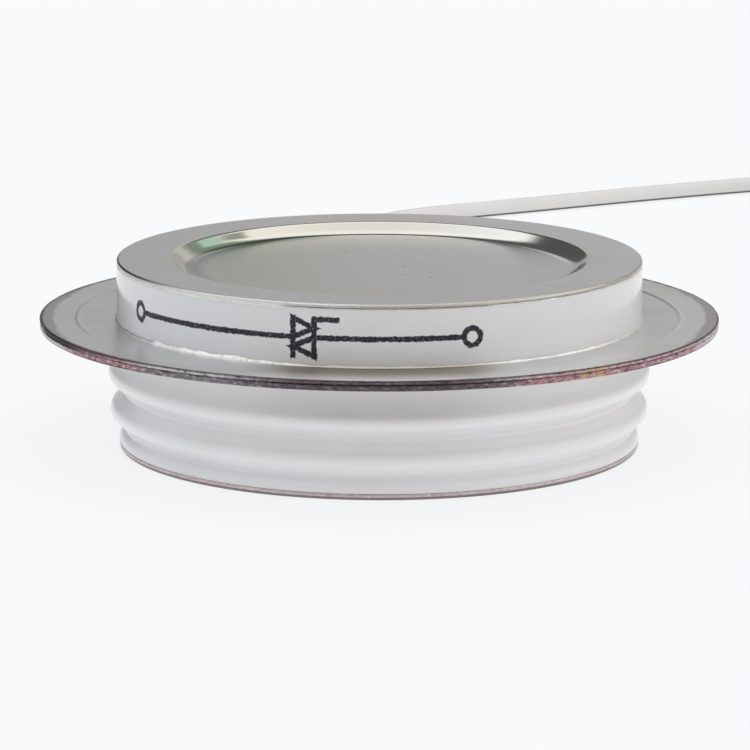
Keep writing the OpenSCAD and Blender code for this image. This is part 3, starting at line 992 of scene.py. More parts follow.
class Modifier(Bench):
    """A Geometry Nodes tree with named inputs, used once and baked."""

    def __init__(self, name: str, sizes: dict[str, tuple[str, object]]) -> None:
        """Starts the tree.

        Args:
            name: Name of the tree.
            sizes: Socket type and value of each named input.
        """
        super().__init__(bpy.data.node_groups.new(name, "GeometryNodeTree"))
        interface = self.tree.interface
        interface.new_socket("Geometry", in_out="INPUT", socket_type="NodeSocketGeometry")
        interface.new_socket("Geometry", in_out="OUTPUT", socket_type="NodeSocketGeometry")
        self.values: dict[str, object] = {}
        for label, (kind, value) in sizes.items():
            socket = interface.new_socket(label, in_out="INPUT", socket_type=kind)
            self.values[socket.identifier] = value
        self.inputs = self.node("NodeGroupInput").outputs

    def value(self, label: str) -> Field:
        """A named input as a value."""
        return Field(self, self.inputs[label])

    def circle(self, radius: Term, sides: Term) -> Socket:
        """Adds a circle of a radius in metres and gives its curve socket."""
        inputs = {"Resolution": sides, "Radius": radius}
        return self.node("GeometryNodeCurvePrimitiveCircle", {"mode": "RADIUS"}, inputs).outputs[0]

    def sweep(self, path: Socket, profile: Socket, capped: bool = True) -> None:
        """Sweeps a profile and ends the tree in Realize Instances and Set Material.

        Args:
            path: Curve socket of the path.
            profile: Curve socket of the section.
            capped: Whether the ends are closed.
        """
        inputs = {"Curve": path, "Profile Curve": profile, "Fill Caps": capped}
        swept = self.node("GeometryNodeCurveToMesh", None, inputs)
        real = self.node("GeometryNodeRealizeInstances", None, {"Geometry": swept.outputs[0]})
        inputs = {"Geometry": real.outputs[0], "Material": self.inputs["Material"]}
        dressed = self.node("GeometryNodeSetMaterial", None, inputs)
        self.node("NodeGroupOutput", None, {0: dressed.outputs[0]})

    def bake(self, name: str, source: Object, crease: float = 50.0) -> Object:
        """Runs the tree on an object and keeps the result as a plain mesh.

        Args:
            name: Name of the new piece.
            source: Curve or mesh that the tree starts from, which is removed.
            crease: Angle in degrees above which an edge stays sharp.

        Returns:
            The new piece.
        """
        modifier = source.modifiers.new(self.tree.name, "NODES")
        modifier.node_group = self.tree
        for identifier, value in self.values.items():
            modifier[identifier] = value
        graph = bpy.context.evaluated_depsgraph_get()
        data = bpy.data.meshes.new_from_object(source.evaluated_get(graph), depsgraph=graph)
        source.modifiers.remove(modifier)
        bpy.data.objects.remove(source)
        shell = bmesh.new()
        shell.from_mesh(data)
        bmesh.ops.remove_doubles(shell, verts=shell.verts, dist=MERGED)
        bmesh.ops.recalc_face_normals(shell, faces=shell.faces)
        shell.to_mesh(data)
        shell.free()
        data.name = name
        return Lathe(crease=crease).link(name, data)


def line_object(name: str, points: Sequence[Vector], closed: bool = False) -> Object:
    """Curve of one straight-sided spline.

    Args:
        name: Name of the object.
        points: Its points in metres.
        closed: Whether it ends where it starts.

    Returns:
        The new curve object.
    """
    curve = bpy.data.curves.new(name, "CURVE")
    curve.dimensions = "3D"
    spline = curve.splines.new("POLY")
    spline.points.add(len(points) - 1)
    for point, place in zip(spline.points, points):
        point.co = (*place, 1.0)
    spline.use_cyclic_u = closed
    return placed(name, curve)


# --- Pieces ---------------------------------------------------------------------------


@dataclass
class TurnedPieces:
    """A sub-assembly whose round pieces one lathe turns.

    Attributes:
        materials: The finishes.
        lathe: Turns the sections.
        gate_z: Height of the gate line.
        wall_r: Radius of the ceramic's wall, where the gate tube leaves it.
    """

    materials: Finishes
    lathe: Lathe = Lathe()
    gate_z: float = 11.4
    wall_r: float = 28.9

    @property
    def axis(self) -> Matrix | None:
        """Turn from the lathe's axes to those of the pieces, if they differ."""
        return None

    def seat(self, piece: Object, slot: Slot, *nodes: str) -> Object:
        """Dresses a new piece, hangs it under the root body and hides the CAD nodes that it stands
        for.

        Args:
            piece: The new piece.
            slot: The record's slot that it takes its finish from.
            nodes: CAD nodes that it stands for.

        Returns:
            The piece.
        """
        piece.data.materials.clear()
        piece.data.materials.append(self.materials[slot])
        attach(piece, ROOT)
        if nodes:
            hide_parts(*nodes)
        faces = len(piece.data.polygons)
        LOG.info("%s: %d faces, finish %s", piece.name, faces, slot.value)
        return piece

    def turned(
        self, name: str, slot: Slot, line: Sequence[Point], *nodes: str, shape: Shape | None = None
    ) -> Object:
        """Turns a closed line of (radius, height) in millimetres and seats the piece."""
        return self.seat(self.lathe.turn(name, line, shape, self.axis), slot, *nodes)


@dataclass
class Capsule(TurnedPieces):
    """The sealed body: cups, ceramics, brim and braze."""

    band_r: float = 29.0
    foot_r: float = 28.8
    bore_r: float = 24.5
    flange_bore_r: float = 25.0
    brim_r: float = 37.5
    step_r: float = 33.3
    step_t: float = 0.15
    sheet_t: float = 0.55
    brim_low_z: float = 13.46
    base_sheet_t: float = 0.68
    lid_sheet_t: float = 0.5
    seam_z: float = 14.1
    brim_z: float = 14.57
    band_z: float = 14.18
    lid_z: float = 20.36
    top_z: float = 20.9
    dish_r: float = 23.4
    dish_depth: float = 1.3
    bend_r: float = 0.9
    fillet_r: float = 3.0
    apron_w: float = 2.2
    apron_rise: float = 0.075
    wall_angle: float = 35.7
    rim_round: float = 0.27
    crest_z: tuple[float, float] = (8.4, 4.3)
    crest_r: tuple[float, float] = (29.95, 29.75)
    crest_round: float = 1.1
    groove_round: float = 0.45
    flank_angle: float = 50.0
    shoulder_r: float = 4.0
    foot_round: float = 1.2
    pitch: float = 4.1
    hole_r: float = 1.25
    hole_from: float = 20.0
    hole_to: float = 34.0
    edge_round: float = 0.14
    hub_r: float = 12.0

    @property
    def lean(self) -> float:
        """Slope of the dish's floor where its fillet starts, in radians."""
        return math.atan(2 * self.apron_rise / self.apron_w)

    @property
    def floor_r(self) -> float:
        """Radius where the floor of the dish meets its fillet."""
        slope, bend, foot = math.radians(self.wall_angle), self.bend_r, self.fillet_r
        drop = bend * (1 - math.cos(slope)) + foot * (math.cos(self.lean) - math.cos(slope))
        run = (self.dish_depth - self.apron_rise - drop) / math.tan(slope)
        bends = bend * math.sin(slope) + foot * (math.sin(slope) - math.sin(self.lean))
        return self.dish_r - bends - run

    def cup_line(self, rim_r: float, sheet: float) -> list[Point]:
        """Section of a dished cup with its rim on top, at height 0.

        Args:
            rim_r: Radius of its edge.
            sheet: Thickness of its sheet.

        Returns:
            The closed line.
        """
        slope, bend, foot, r = self.wall_angle, self.bend_r, self.fillet_r, self.rim_round
        edge = self.edge_round
        floor, lean = -self.dish_depth, self.lean
        low = (
            self.floor_r - foot * math.sin(lean),
            floor + self.apron_rise + foot * math.cos(lean),
        )
        apron = [
            (self.floor_r - self.apron_w * (1 - t / 5), floor + self.apron_rise * (t / 5) ** 2)
            for t in (4, 3, 2, 1, 0)
        ]
        face = [
            *arc((rim_r - edge, -sheet + edge), edge, -90, 0, 4),
            *arc((rim_r - r, -r), r, 0, 90, 6),
            *arc((self.dish_r, -bend), bend, 90, 90 + slope, 8),
            *arc(low, foot, 270 + slope, 270 + math.degrees(lean), 12),
            *apron,
            (self.hub_r, floor),
            (0.0, floor),
        ]
        back = [(0.0, floor - sheet), (self.floor_r + 0.1, floor - sheet), (self.dish_r, -sheet)]
        return guarded(face + back)

    def cups(self) -> None:
        """Makes the lid cup and the base cup."""
        lid = [(r, z + self.top_z) for r, z in self.cup_line(self.band_r, self.lid_sheet_t)]
        wear_and_shade = self._rim_wear(self.band_r, 3)
        self.turned("lid_cup_face", Slot.LID_NICKEL, lid, "lid_cup", shape=wear_and_shade)
        base = [(r, -z) for r, z in self.cup_line(self.foot_r, self.base_sheet_t)]
        wear_and_shade = self._rim_wear(self.foot_r, 4)
        self.turned("base_cup_face", Slot.BASE_NICKEL, base, "base_cup", shape=wear_and_shade)

    @staticmethod
    def _rim_wear(rim_r: float, seed: int) -> Shape:
        """Slight waves in the edge of a rim.

        Args:
            rim_r: Radius of the edge.
            seed: Seed of the waves.

        Returns:
            The function for the lathe.
        """

        def shape(angle: Array, r: Array, z: Array) -> Moved:
            """Moves the points near the edge in or out by some hundredths."""
            near = np.clip((r - rim_r + 0.3) / 0.3, 0, 1)
            return r + near * (wobble(angle, (7, 17, 41, 67), seed) * 0.012 - 0.015), z

        return shape

    def band(self) -> None:
        """Makes the plain upper ceramic and the braze under its lid."""
        line = rounded(
            [
                (self.bore_r, self.band_z, 0.15),
                (self.band_r, self.band_z, 0.1),
                (self.band_r, self.lid_z, 0.14),
                (self.bore_r, self.lid_z, 0.15),
            ]
        )
        self.turned("printed_band", Slot.BAND_CERAMIC, guarded(line), "upper_ceramic_ring")
        seam = rounded(
            [
                (self.band_r - 0.4, self.lid_z - 0.02),
                (self.band_r - 0.07, self.lid_z - 0.06, 0.03),
                (self.band_r - 0.07, self.lid_z + 0.1, 0.03),
                (self.band_r - 0.4, self.lid_z + 0.06),
            ]
        )

        def run(angle: Array, r: Array, z: Array) -> Moved:
            """Lets the braze swell and shrink along the joint.

            Args:
                angle: Angles round the axis in radians.
                r: Radii of the points.
                z: Their heights.

            Returns:
                The new radii and heights.
            """
            amount = wobble(angle, (3, 11, 29, 53, 97), 8)
            out = np.clip((r - self.band_r + 0.4) / 0.3, 0, 1)
            return r + out * (amount * 1.5 - np.cos(angle)) * 0.03, z

        self.turned("lid_braze_seam", Slot.BRAZE, guarded(seam), shape=run)

    def sheet_z(self, r: float | Array) -> float | Array:
        """Height of the brim's plain upper face at a distance from the axis."""
        rise = (self.brim_z - self.band_z) / (self.brim_r - self.band_r)
        return self.band_z + rise * (r - self.band_r)

    def brim(self) -> None:
        """Makes the two sheet rings of the welded brim."""
        foot, top, seam = self.band_z, self.brim_z, self.seam_z
        inner = self.sheet_z(self.step_r)
        under = foot - 0.12
        line = [
            (self.flange_bore_r, under),
            (self.band_r + 0.5, under),
            (self.brim_r - 0.14, seam, 0.1),
            (self.brim_r, seam + 0.12, 0.1),
            (self.brim_r, top, 0.14),
            (self.step_r + 0.32, inner, 0.5),
            (self.step_r, inner + self.step_t, 0.4),
            (self.step_r - 0.4, inner - 0.01, 0.5),
            (self.band_r + 0.1, foot),
            (self.flange_bore_r, foot),
        ]
        line = guarded(rounded(line))
        weld = self._weld(5, top)
        self.turned("brim_upper_sheet", Slot.BRIM_NICKEL, line, "lid_flange", shape=weld)
        low = self.seam_z - self.sheet_t
        line = [
            (self.flange_bore_r, low),
            (self.step_r - 0.3, low, 0.4),
            (self.step_r, low - self.step_t * 0.5, 0.4),
            (self.step_r + 0.3, low, 0.4),
            (self.brim_r - 0.04, self.brim_low_z, 0.16),
            (self.brim_r - 0.04, seam - 0.12, 0.1),
            (self.brim_r - 0.18, seam, 0.1),
            (self.band_r + 0.5, under),
            (self.flange_bore_r, under),
        ]
        line = guarded(rounded(line))
        weld = self._weld(6, low)
        self.turned("brim_lower_sheet", Slot.BRIM_NICKEL, line, "base_flange", shape=weld)

    def _weld(self, seed: int, outer_z: float) -> Shape:
        """Unevenness of a sheared and welded sheet edge.

        Args:
            seed: Seed of the waves.
            outer_z: Height of the sheet's free face, which waves a little near the edge.

        Returns:
            The function for the lathe.
        """

        def shape(angle: Array, r: Array, z: Array) -> Moved:
            """Moves the points near the edge by some hundredths.

            Args:
                angle: Angles round the axis in radians.
                r: Radii of the points.
                z: Their heights.

            Returns:
                The new radii and heights.
            """
            near = np.clip((r - self.brim_r + 0.6) / 0.6, 0, 1)
            rough = wobble(angle, (5, 13, 31, 59, 83, 113), seed)
            sag = wobble(angle, (4, 9, 23), seed + 20) * 0.012
            free = np.clip(1 - np.abs(z - outer_z) / 0.2, 0, 1)
            pressed = np.clip(3 - np.abs(r - self.step_r) / 0.4, 0, 1) * (z > self.seam_z)
            wear_and_shade = np.clip(-1.6 * np.sin(angle) - 0.3, 0, 1) + np.clip(-np.cos(angle), 0, 0.55)
            flat = pressed * np.clip(wear_and_shade, 0, 1) * (z - self.sheet_z(r))
            return r + near * (rough * 0.018 - 0.03), z + near * free * sag - flat

        return shape

    def braze_bead(self) -> None:
        """Makes the uneven bead of braze round the foot of the band."""
        foot = self.band_z
        line = rounded(
            [
                (self.band_r - 0.08, foot - 0.03),
                (self.band_r + 0.22, foot - 0.03, 0.04),
                (self.band_r + 0.16, foot + 0.1, 0.1),
                (self.band_r + 0.02, foot + 0.22, 0.04),
                (self.band_r - 0.08, foot + 0.2),
            ]
        )

        def run(angle: Array, r: Array, z: Array) -> Moved:
            """Lets the bead swell and shrink along the joint.

            Args:
                angle: Angles round the axis in radians.
                r: Radii of the points.
                z: Their heights.

            Returns:
                The new radii and heights.
            """
            pool = np.exp(-(((angle - math.radians(232)) / math.radians(17)) ** 2))
            uneven = 1 + 0.3 * wobble(angle, (2, 5, 13, 29, 47, 71), 11)
            amount = (0.9 + 1.2 * pool) * np.clip(uneven, 0.5, 2)
            out = np.maximum(r - self.band_r, 0)
            up = np.maximum(z - foot, 0)
            return np.minimum(r, self.band_r) + out * amount, np.minimum(z, foot) + up * amount

        line = guarded(line, 0.03)
        self.turned("band_foot_bead", Slot.BRAZE, line, "band_braze_fillet", shape=run)

    def rib_line(self) -> list[Point]:
        """Section of the ribbed ceramic: crests and grooves of equal slope.

        Returns:
            The closed line.
        """
        half, crest, small = self.pitch / 2, self.crest_round, self.groove_round
        slope, bend = self.flank_angle, math.radians(self.flank_angle)
        flank = (half - (crest + small) * math.sin(bend)) / math.cos(bend)
        depth = (crest + small) * (1 - math.cos(bend)) + flank * math.sin(bend)
        upper_c, lower_c = (r - crest for r in self.crest_r)
        groove_c = self.crest_r[1] - depth + small
        foot_c = self.foot_r - self.foot_round
        soft = self.shoulder_r
        reach = self.wall_r + soft - upper_c
        drop = math.sqrt((crest + soft) ** 2 - reach**2)
        lift = math.degrees(math.atan2(drop, reach))
        step = groove_c - foot_c
        fall = math.sqrt((self.foot_round + small) ** 2 - step**2)
        foot = math.degrees(math.atan2(fall, step))
        first, second = self.crest_z
        top, low = self.seam_z - self.sheet_t, self.base_sheet_t
        outer = [
            *arc((self.wall_r - 0.2, top - 0.2), 0.2, 90, 0, 5),
            *arc((self.wall_r + soft, first + drop), soft, 180, 180 + lift, 14),
            *arc((upper_c, first), crest, lift, -slope, 14),
            *arc((groove_c, first - half), small, 180 - slope, 180 + slope, 12),
            *arc((lower_c, second), crest, slope, -slope, 16),
            *arc((groove_c, second - half), small, 180 - slope, 180 + foot, 10),
            *arc((foot_c, second - half - fall), self.foot_round, foot, 0, 10),
            *arc((self.foot_r - 0.1, low + 0.1), 0.1, 0, -90, 4),
        ]
        return guarded([(self.bore_r, top), *outer, (self.bore_r, low)])

    def ribbed_body(self) -> None:
        """Makes the ribbed ceramic by sweeping its section round, with the gate hole."""
        middle = (self.bore_r + self.wall_r) / 2
        section = line_object(
            "rib_section",
            [Vector((r - middle, -z, 0)) * MM for r, z in self.rib_line()],
            closed=True,
        )
        tree = Modifier(
            "ribbed_ring",
            {
                "Ring radius": ("NodeSocketFloat", middle * MM),
                "Segments": ("NodeSocketInt", self.lathe.segments),
                "Material": ("NodeSocketMaterial", self.materials[Slot.RIBBED_CERAMIC]),
            },
        )
        circle = tree.circle(tree.value("Ring radius"), tree.value("Segments"))
        upright = tree.node("GeometryNodeSetCurveNormal", {"mode": "Z_UP"}, {"Curve": circle})
        tree.sweep(upright.outputs[0], tree.inputs["Geometry"], capped=False)
        ring = tree.bake("ribbed_ceramic_ring", section, self.lathe.crease)
        self._drill(ring)
        self.seat(ring, Slot.RIBBED_CERAMIC, "lower_ceramic")

    def _drill(self, ring: Object) -> None:
        """Makes the hole for the gate tube.

        Args:
            ring: The ribbed ceramic, which gets the new mesh.
        """
        start, end = self.hole_from, self.hole_to
        line = [(0, start), (self.hole_r, start), (self.hole_r, end), (0, end)]
        bit = Lathe(segments=48).turn("gate_hole_bit", line, None, gate_line(self.gate_z))
        cut = ring.modifiers.new("gate_hole", "BOOLEAN")
        cut.operation, cut.solver, cut.object = "DIFFERENCE", "EXACT", bit
        graph = bpy.context.evaluated_depsgraph_get()
        data = bpy.data.meshes.new_from_object(ring.evaluated_get(graph), depsgraph=graph)
        ring.modifiers.remove(cut)
        ring.data = data
        bpy.data.objects.remove(bit)

    def build(self) -> None:
        """Makes every piece of the body."""
        self.cups()
        self.band()
        self.brim()
        self.braze_bead()
        self.ribbed_body()


@dataclass
class GateLead(TurnedPieces):
    """The gate tube, its strain relief sleeve and the insulated lead with its bare tip."""

    lathe: Lathe = Lathe(segments=64)
    tube_start: float = 24.0
    tube_end: float = 33.4
    tube_r: float = 1.2
    tube_bore: float = 0.85
    lead_start: float = 37.0
    lead_d: float = 2.3
    rest_z: float = 1.2
    core_r: float = 0.4
    tip_l: float = 4.0
    coil_centre: Point = (71.0, 168.2)
    coil_r: float = 12.0
    entry_angle: float = 115.0
    gap_angle: float = 32.0
    sleeve_start: float = 30.2
    sleeve_end: float = 44.0
    strands: int = 6
    strand_turns: float = 1.25
    strand_sides: int = 10
    lead_sides: int = 16
    coil_steps: int = 160
    tip_steps: int = 24
    knot_steps: int = 4
    laid: tuple[Corner, ...] = (
        (0, 0, 1), (0, 3.5, 1), (0, 7, 1), (0, 11, 0.98), (0, 15, 0.91), (0, 19, 0.79),
        (0, 23, 0.63), (0, 27, 0.46), (-0.2, 31, 0.3), (-0.4, 35, 0.17), (-0.7, 39, 0.08),
        (-1, 43, 0.02), (-1.4, 47.5, 0), (-1.9, 51.8, 0), (-2.5, 56.1, 0), (-3.1, 60.4, 0),
        (-3.7, 64.7, 0), (-4.3, 68.9, 0), (-4.8, 73.2, 0), (-5.1, 77.4, 0), (-5.2, 81.8, 0),
        (-5, 86.2, 0), (-4.2, 91.2, 0), (-2.9, 96.2, 0), (-1, 100.6, 0), (1.5, 104.2, 0),
        (4.6, 107.4, 0), (8.4, 110.2, 0), (12.8, 112.8, 0), (17.3, 115.4, 0),
        (21.8, 118, 0), (26.3, 120.7, 0), (30.8, 123.4, 0), (35.3, 126.1, 0),
        (39.8, 128.7, 0), (44.3, 131.2, 0), (48.9, 133.7, 0), (53.4, 136, 0),
        (57.4, 138, 0), (61.4, 139.9, 0),
    )  # fmt: skip

    @property
    def axis(self) -> Matrix:
        """Turn from the lathe's axes to the gate line."""
        return gate_line(self.gate_z)

    def route(self) -> list[Vector]:
        """Centreline of the lead: the laid run, then the flat coil.

        Returns:
            Close points in metres.
        """
        rise = self.gate_z - self.rest_z
        run = [Vector((x, self.lead_start + y, self.rest_z + f * rise)) for x, y, f in self.laid]
        turns = (720 - self.gap_angle) / 360
        cx, cy = self.coil_centre
        coil = []
        for i in range(self.coil_steps + 1):
            turn = turns * i / self.coil_steps
            a = math.radians(self.entry_angle - 360 * turn)
            r = self.coil_r - self.lead_d * turn
            coil.append(Vector((cx + r * math.cos(a), cy + r * math.sin(a), self.rest_z)))
        knots = [run[0] * 2 - run[1], *run, coil[0], coil[1]]
        smooth = [
            self._between(*four, k / self.knot_steps)
            for four in zip(knots, knots[1:], knots[2:], knots[3:])
            for k in range(self.knot_steps)
        ]
        return [p * MM for p in [*smooth, *coil]]

    @staticmethod
    def _between(a: Vector, b: Vector, c: Vector, d: Vector, t: float) -> Vector:
        """Point of a smooth curve through b and c.

        Args:
            a: Knot before b.
            b: Knot where t is 0.
            c: Knot where t is 1.
            d: Knot after c.
            t: Place between b and c.

        Returns:
            The point.
        """
        bend = 2 * a - 5 * b + 4 * c - d
        twist = 3 * b - a - 3 * c + d
        return 0.5 * (2 * b + (c - a) * t + bend * t**2 + twist * t**3)

    def lead(self, route: Sequence[Vector]) -> Object:
        """Makes the insulated lead along its route.

        Args:
            route: Its centreline.

        Returns:
            The lead.
        """
        tree = Modifier(
            "insulated_lead",
            {
                "Lead radius": ("NodeSocketFloat", self.lead_d / 2 * MM),
                "Sides": ("NodeSocketInt", self.lead_sides),
                "Material": ("NodeSocketMaterial", self.materials[Slot.LEAD_INSULATION]),
            },
        )
        profile = tree.circle(tree.value("Lead radius"), tree.value("Sides"))
        tree.sweep(tree.inputs["Geometry"], profile)
        lead = tree.bake("gate_lead_insulation", line_object("lead_route", route))
        return self.seat(lead, Slot.LEAD_INSULATION, "gate_lead", "gate_lead_coil")

    def tip(self, route: Sequence[Vector]) -> Object:
        """Makes the stranded bare end of the lead.

        Args:
            route: The lead's centreline, which the tip goes on from.

        Returns:
            The tip.
        """
        ahead = (route[-1] - route[-2]).normalized()
        side = ahead.cross(Vector((0, 0, 1))).normalized()
        steps, start = self.tip_steps, route[-1]
        core = [start + ahead * MM * (-1 + (self.tip_l + 1) * i / steps) for i in range(steps + 1)]
        strand = self.core_r / 3
        tree = Modifier(
            "stranded_tip",
            {
                "Strands": ("NodeSocketInt", self.strands),
                "Strand radius": ("NodeSocketFloat", strand * MM),
                "Turns": ("NodeSocketFloat", self.strand_turns),
                "Side": ("NodeSocketVector", side),
                "Up": ("NodeSocketVector", Vector((0, 0, 1))),
                "Material": ("NodeSocketMaterial", self.materials[Slot.TINNED_COPPER]),
            },
        )
        centre, count = tree.inputs["Geometry"], tree.value("Strands")
        inputs = {"Geometry": centre, "Amount": count}
        copies = tree.node("GeometryNodeDuplicateElements", {"domain": "SPLINE"}, inputs)
        turn = tree.field("GeometryNodeSplineParameter") * tree.value("Turns")
        turn = Field(tree, copies.outputs["Duplicate Index"]) / count + turn
        angle = turn * (2 * math.pi)
        lay = tree.value("Strand radius") * 2.0
        offsets = [
            tree.vector("SCALE", {0: tree.inputs[axis], "Scale": angle.maths(wave, angle) * lay})
            for axis, wave in (("Side", "COSINE"), ("Up", "SINE"))
        ]
        inputs = {
            "Geometry": copies.outputs[0],
            "Offset": tree.vector("ADD", dict(enumerate(offsets))),
        }
        twisted = tree.node("GeometryNodeSetPosition", None, inputs)
        bundle = tree.node("GeometryNodeJoinGeometry", None, {0: centre})
        tree.tree.links.new(twisted.outputs[0], bundle.inputs[0])
        profile = tree.circle(tree.value("Strand radius"), self.strand_sides)
        tree.sweep(bundle.outputs[0], profile)
        tip = tree.bake("lead_tip_strands", line_object("tip_core", core))
        return self.seat(tip, Slot.TINNED_COPPER, "lead_core_tip")

    def sleeve(self) -> Object:
        """Makes the shrunk sleeve over tube, joint and lead.

        Returns:
            The sleeve.
        """
        grip, tail = self.tube_r + 0.05, self.lead_d / 2 + 0.05
        neck = self.tube_end + 0.2
        line = rounded(
            [
                (grip, self.sleeve_start, 0.12),
                (grip + 0.5, self.sleeve_start, 0.2),
                (grip + 0.5, self.tube_end, 0.9),
                (tail + 0.35, self.tube_end + 2, 0.9),
                (tail + 0.35, self.sleeve_end, 0.16),
                (tail, self.sleeve_end, 0.1),
                (tail, neck, 0.05),
                (grip, neck, 0.05),
            ],
            6,
        )

        def shrunk(angle: Array, r: Array, z: Array) -> Moved:
            """Gives the outside a slight unevenness, as shrunk tubing has.

            Args:
                angle: Angles round the axis in radians.
                r: Radii of the points.
                z: Their heights.

            Returns:
                The new radii and heights.
            """
            out = np.clip((r - grip - 0.02) / 0.2, 0, 1)
            waves = np.sin(3 * angle + z * 0.8) * 0.02 + np.sin(5 * angle - z * 1.7) * 0.012
            return r + out * (waves - 0.035), z

        slot, line = Slot.SLEEVE_PLASTIC, guarded(line, 0.4)
        return self.turned("lead_strain_sleeve", slot, line, "lead_sleeve", shape=shrunk)

    def tube(self) -> None:
        """Makes the nickel gate tube and its braze ring."""
        line = rounded(
            [
                (self.tube_bore, self.tube_start, 0.08),
                (self.tube_r, self.tube_start, 0.1),
                (self.tube_r, self.tube_end, 0.1),
                (self.tube_bore, self.tube_end, 0.08),
            ]
        )
        self.turned("gate_tube_bright", Slot.TUBE_NICKEL, guarded(line), "gate_tube")
        wall = self.wall_r
        line = rounded(
            [
                (self.tube_r - 0.05, wall - 0.12),
                (self.tube_r + 0.53, wall - 0.12, 0.05),
                (self.tube_r + 0.4, wall + 0.1, 0.12),
                (self.tube_r + 0.1, wall + 0.33, 0.1),
                (self.tube_r - 0.05, wall + 0.33),
            ]
        )

        def run(angle: Array, r: Array, z: Array) -> Moved:
            """Lets the braze swell and shrink round the tube.

            Args:
                angle: Angles round the axis in radians.
                r: Radii of the points.
                z: Their heights.

            Returns:
                The new radii and heights.
            """
            amount = 1 + 0.08 * wobble(angle, (2, 3, 7), 31)
            out = np.maximum(r - self.tube_r, 0)
            return np.minimum(r, self.tube_r) + out * np.minimum(amount, 1.0), z

        line = guarded(line, 0.03)
        self.turned("gate_tube_braze", Slot.BRAZE, line, "tube_braze_ring", shape=run)

    def build(self) -> None:
        route = self.route()
        length = sum((b - a).length for a, b in zip(route, route[1:]))
        LOG.info("gate lead: %.4f m long", length)
        lead, tip, sleeve = self.lead(route), self.tip(route), self.sleeve()
        self.tube()


@dataclass(frozen=True)
class InnerStack:
    """CAD nodes inside the capsule that keep their own meshes.

    Attributes:
        finishes: The slot of each node.
    """

    finishes: tuple[tuple[Slot, tuple[str, ...]], ...] = (
        (Slot.COPPER, ("base_pole", "lid_pole")),
        (Slot.SILVER, ("contact_foil", "gate_pin", "inner_gate_wire")),
        (Slot.MOLYBDENUM, ("base_molybdenum_disc", "lid_molybdenum_washer")),
        (Slot.SILICON, ("silicon_wafer",)),
        (Slot.SEAL_RUBBER, ("wafer_edge_seal",)),
        (Slot.INSULATING_PLASTIC, ("centring_ring", "gate_bush", "inner_wire_sleeve")),
        (Slot.SPRING_STEEL, ("gate_spring",)),
        (Slot.BRAZE, ("tube_end_seal",)),
        (Slot.TINNED_COPPER, ("joint_ferrule", "lead_core_root")),
    )

    def dress(self, materials: Finishes) -> None:
        """Gives the nodes their finishes.

        Args:
            materials: The finishes.
        """
        for slot, names in self.finishes:
            for name in names:
                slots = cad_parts[name].data.materials
                slots.clear()
                slots.append(materials[slot])
                LOG.info("%s: CAD mesh, finish %s", name, slot.value)


# --- Studio ---------------------------------------------------------------------------


@dataclass(frozen=True)
class Card:
    """A small sheet that only reflections see.

    Attributes:
        name: Its name.
        azimuth: Direction from the capsule, in degrees from +X towards +Y.
        elevation: Height of its middle, in degrees.
        distance: How far it stands from the capsule, in metres.
        size: Width and height in metres.
        light: Its light.
    """

    name: str
    azimuth: float
    elevation: float
    distance: float
    size: Point
    light: Colour


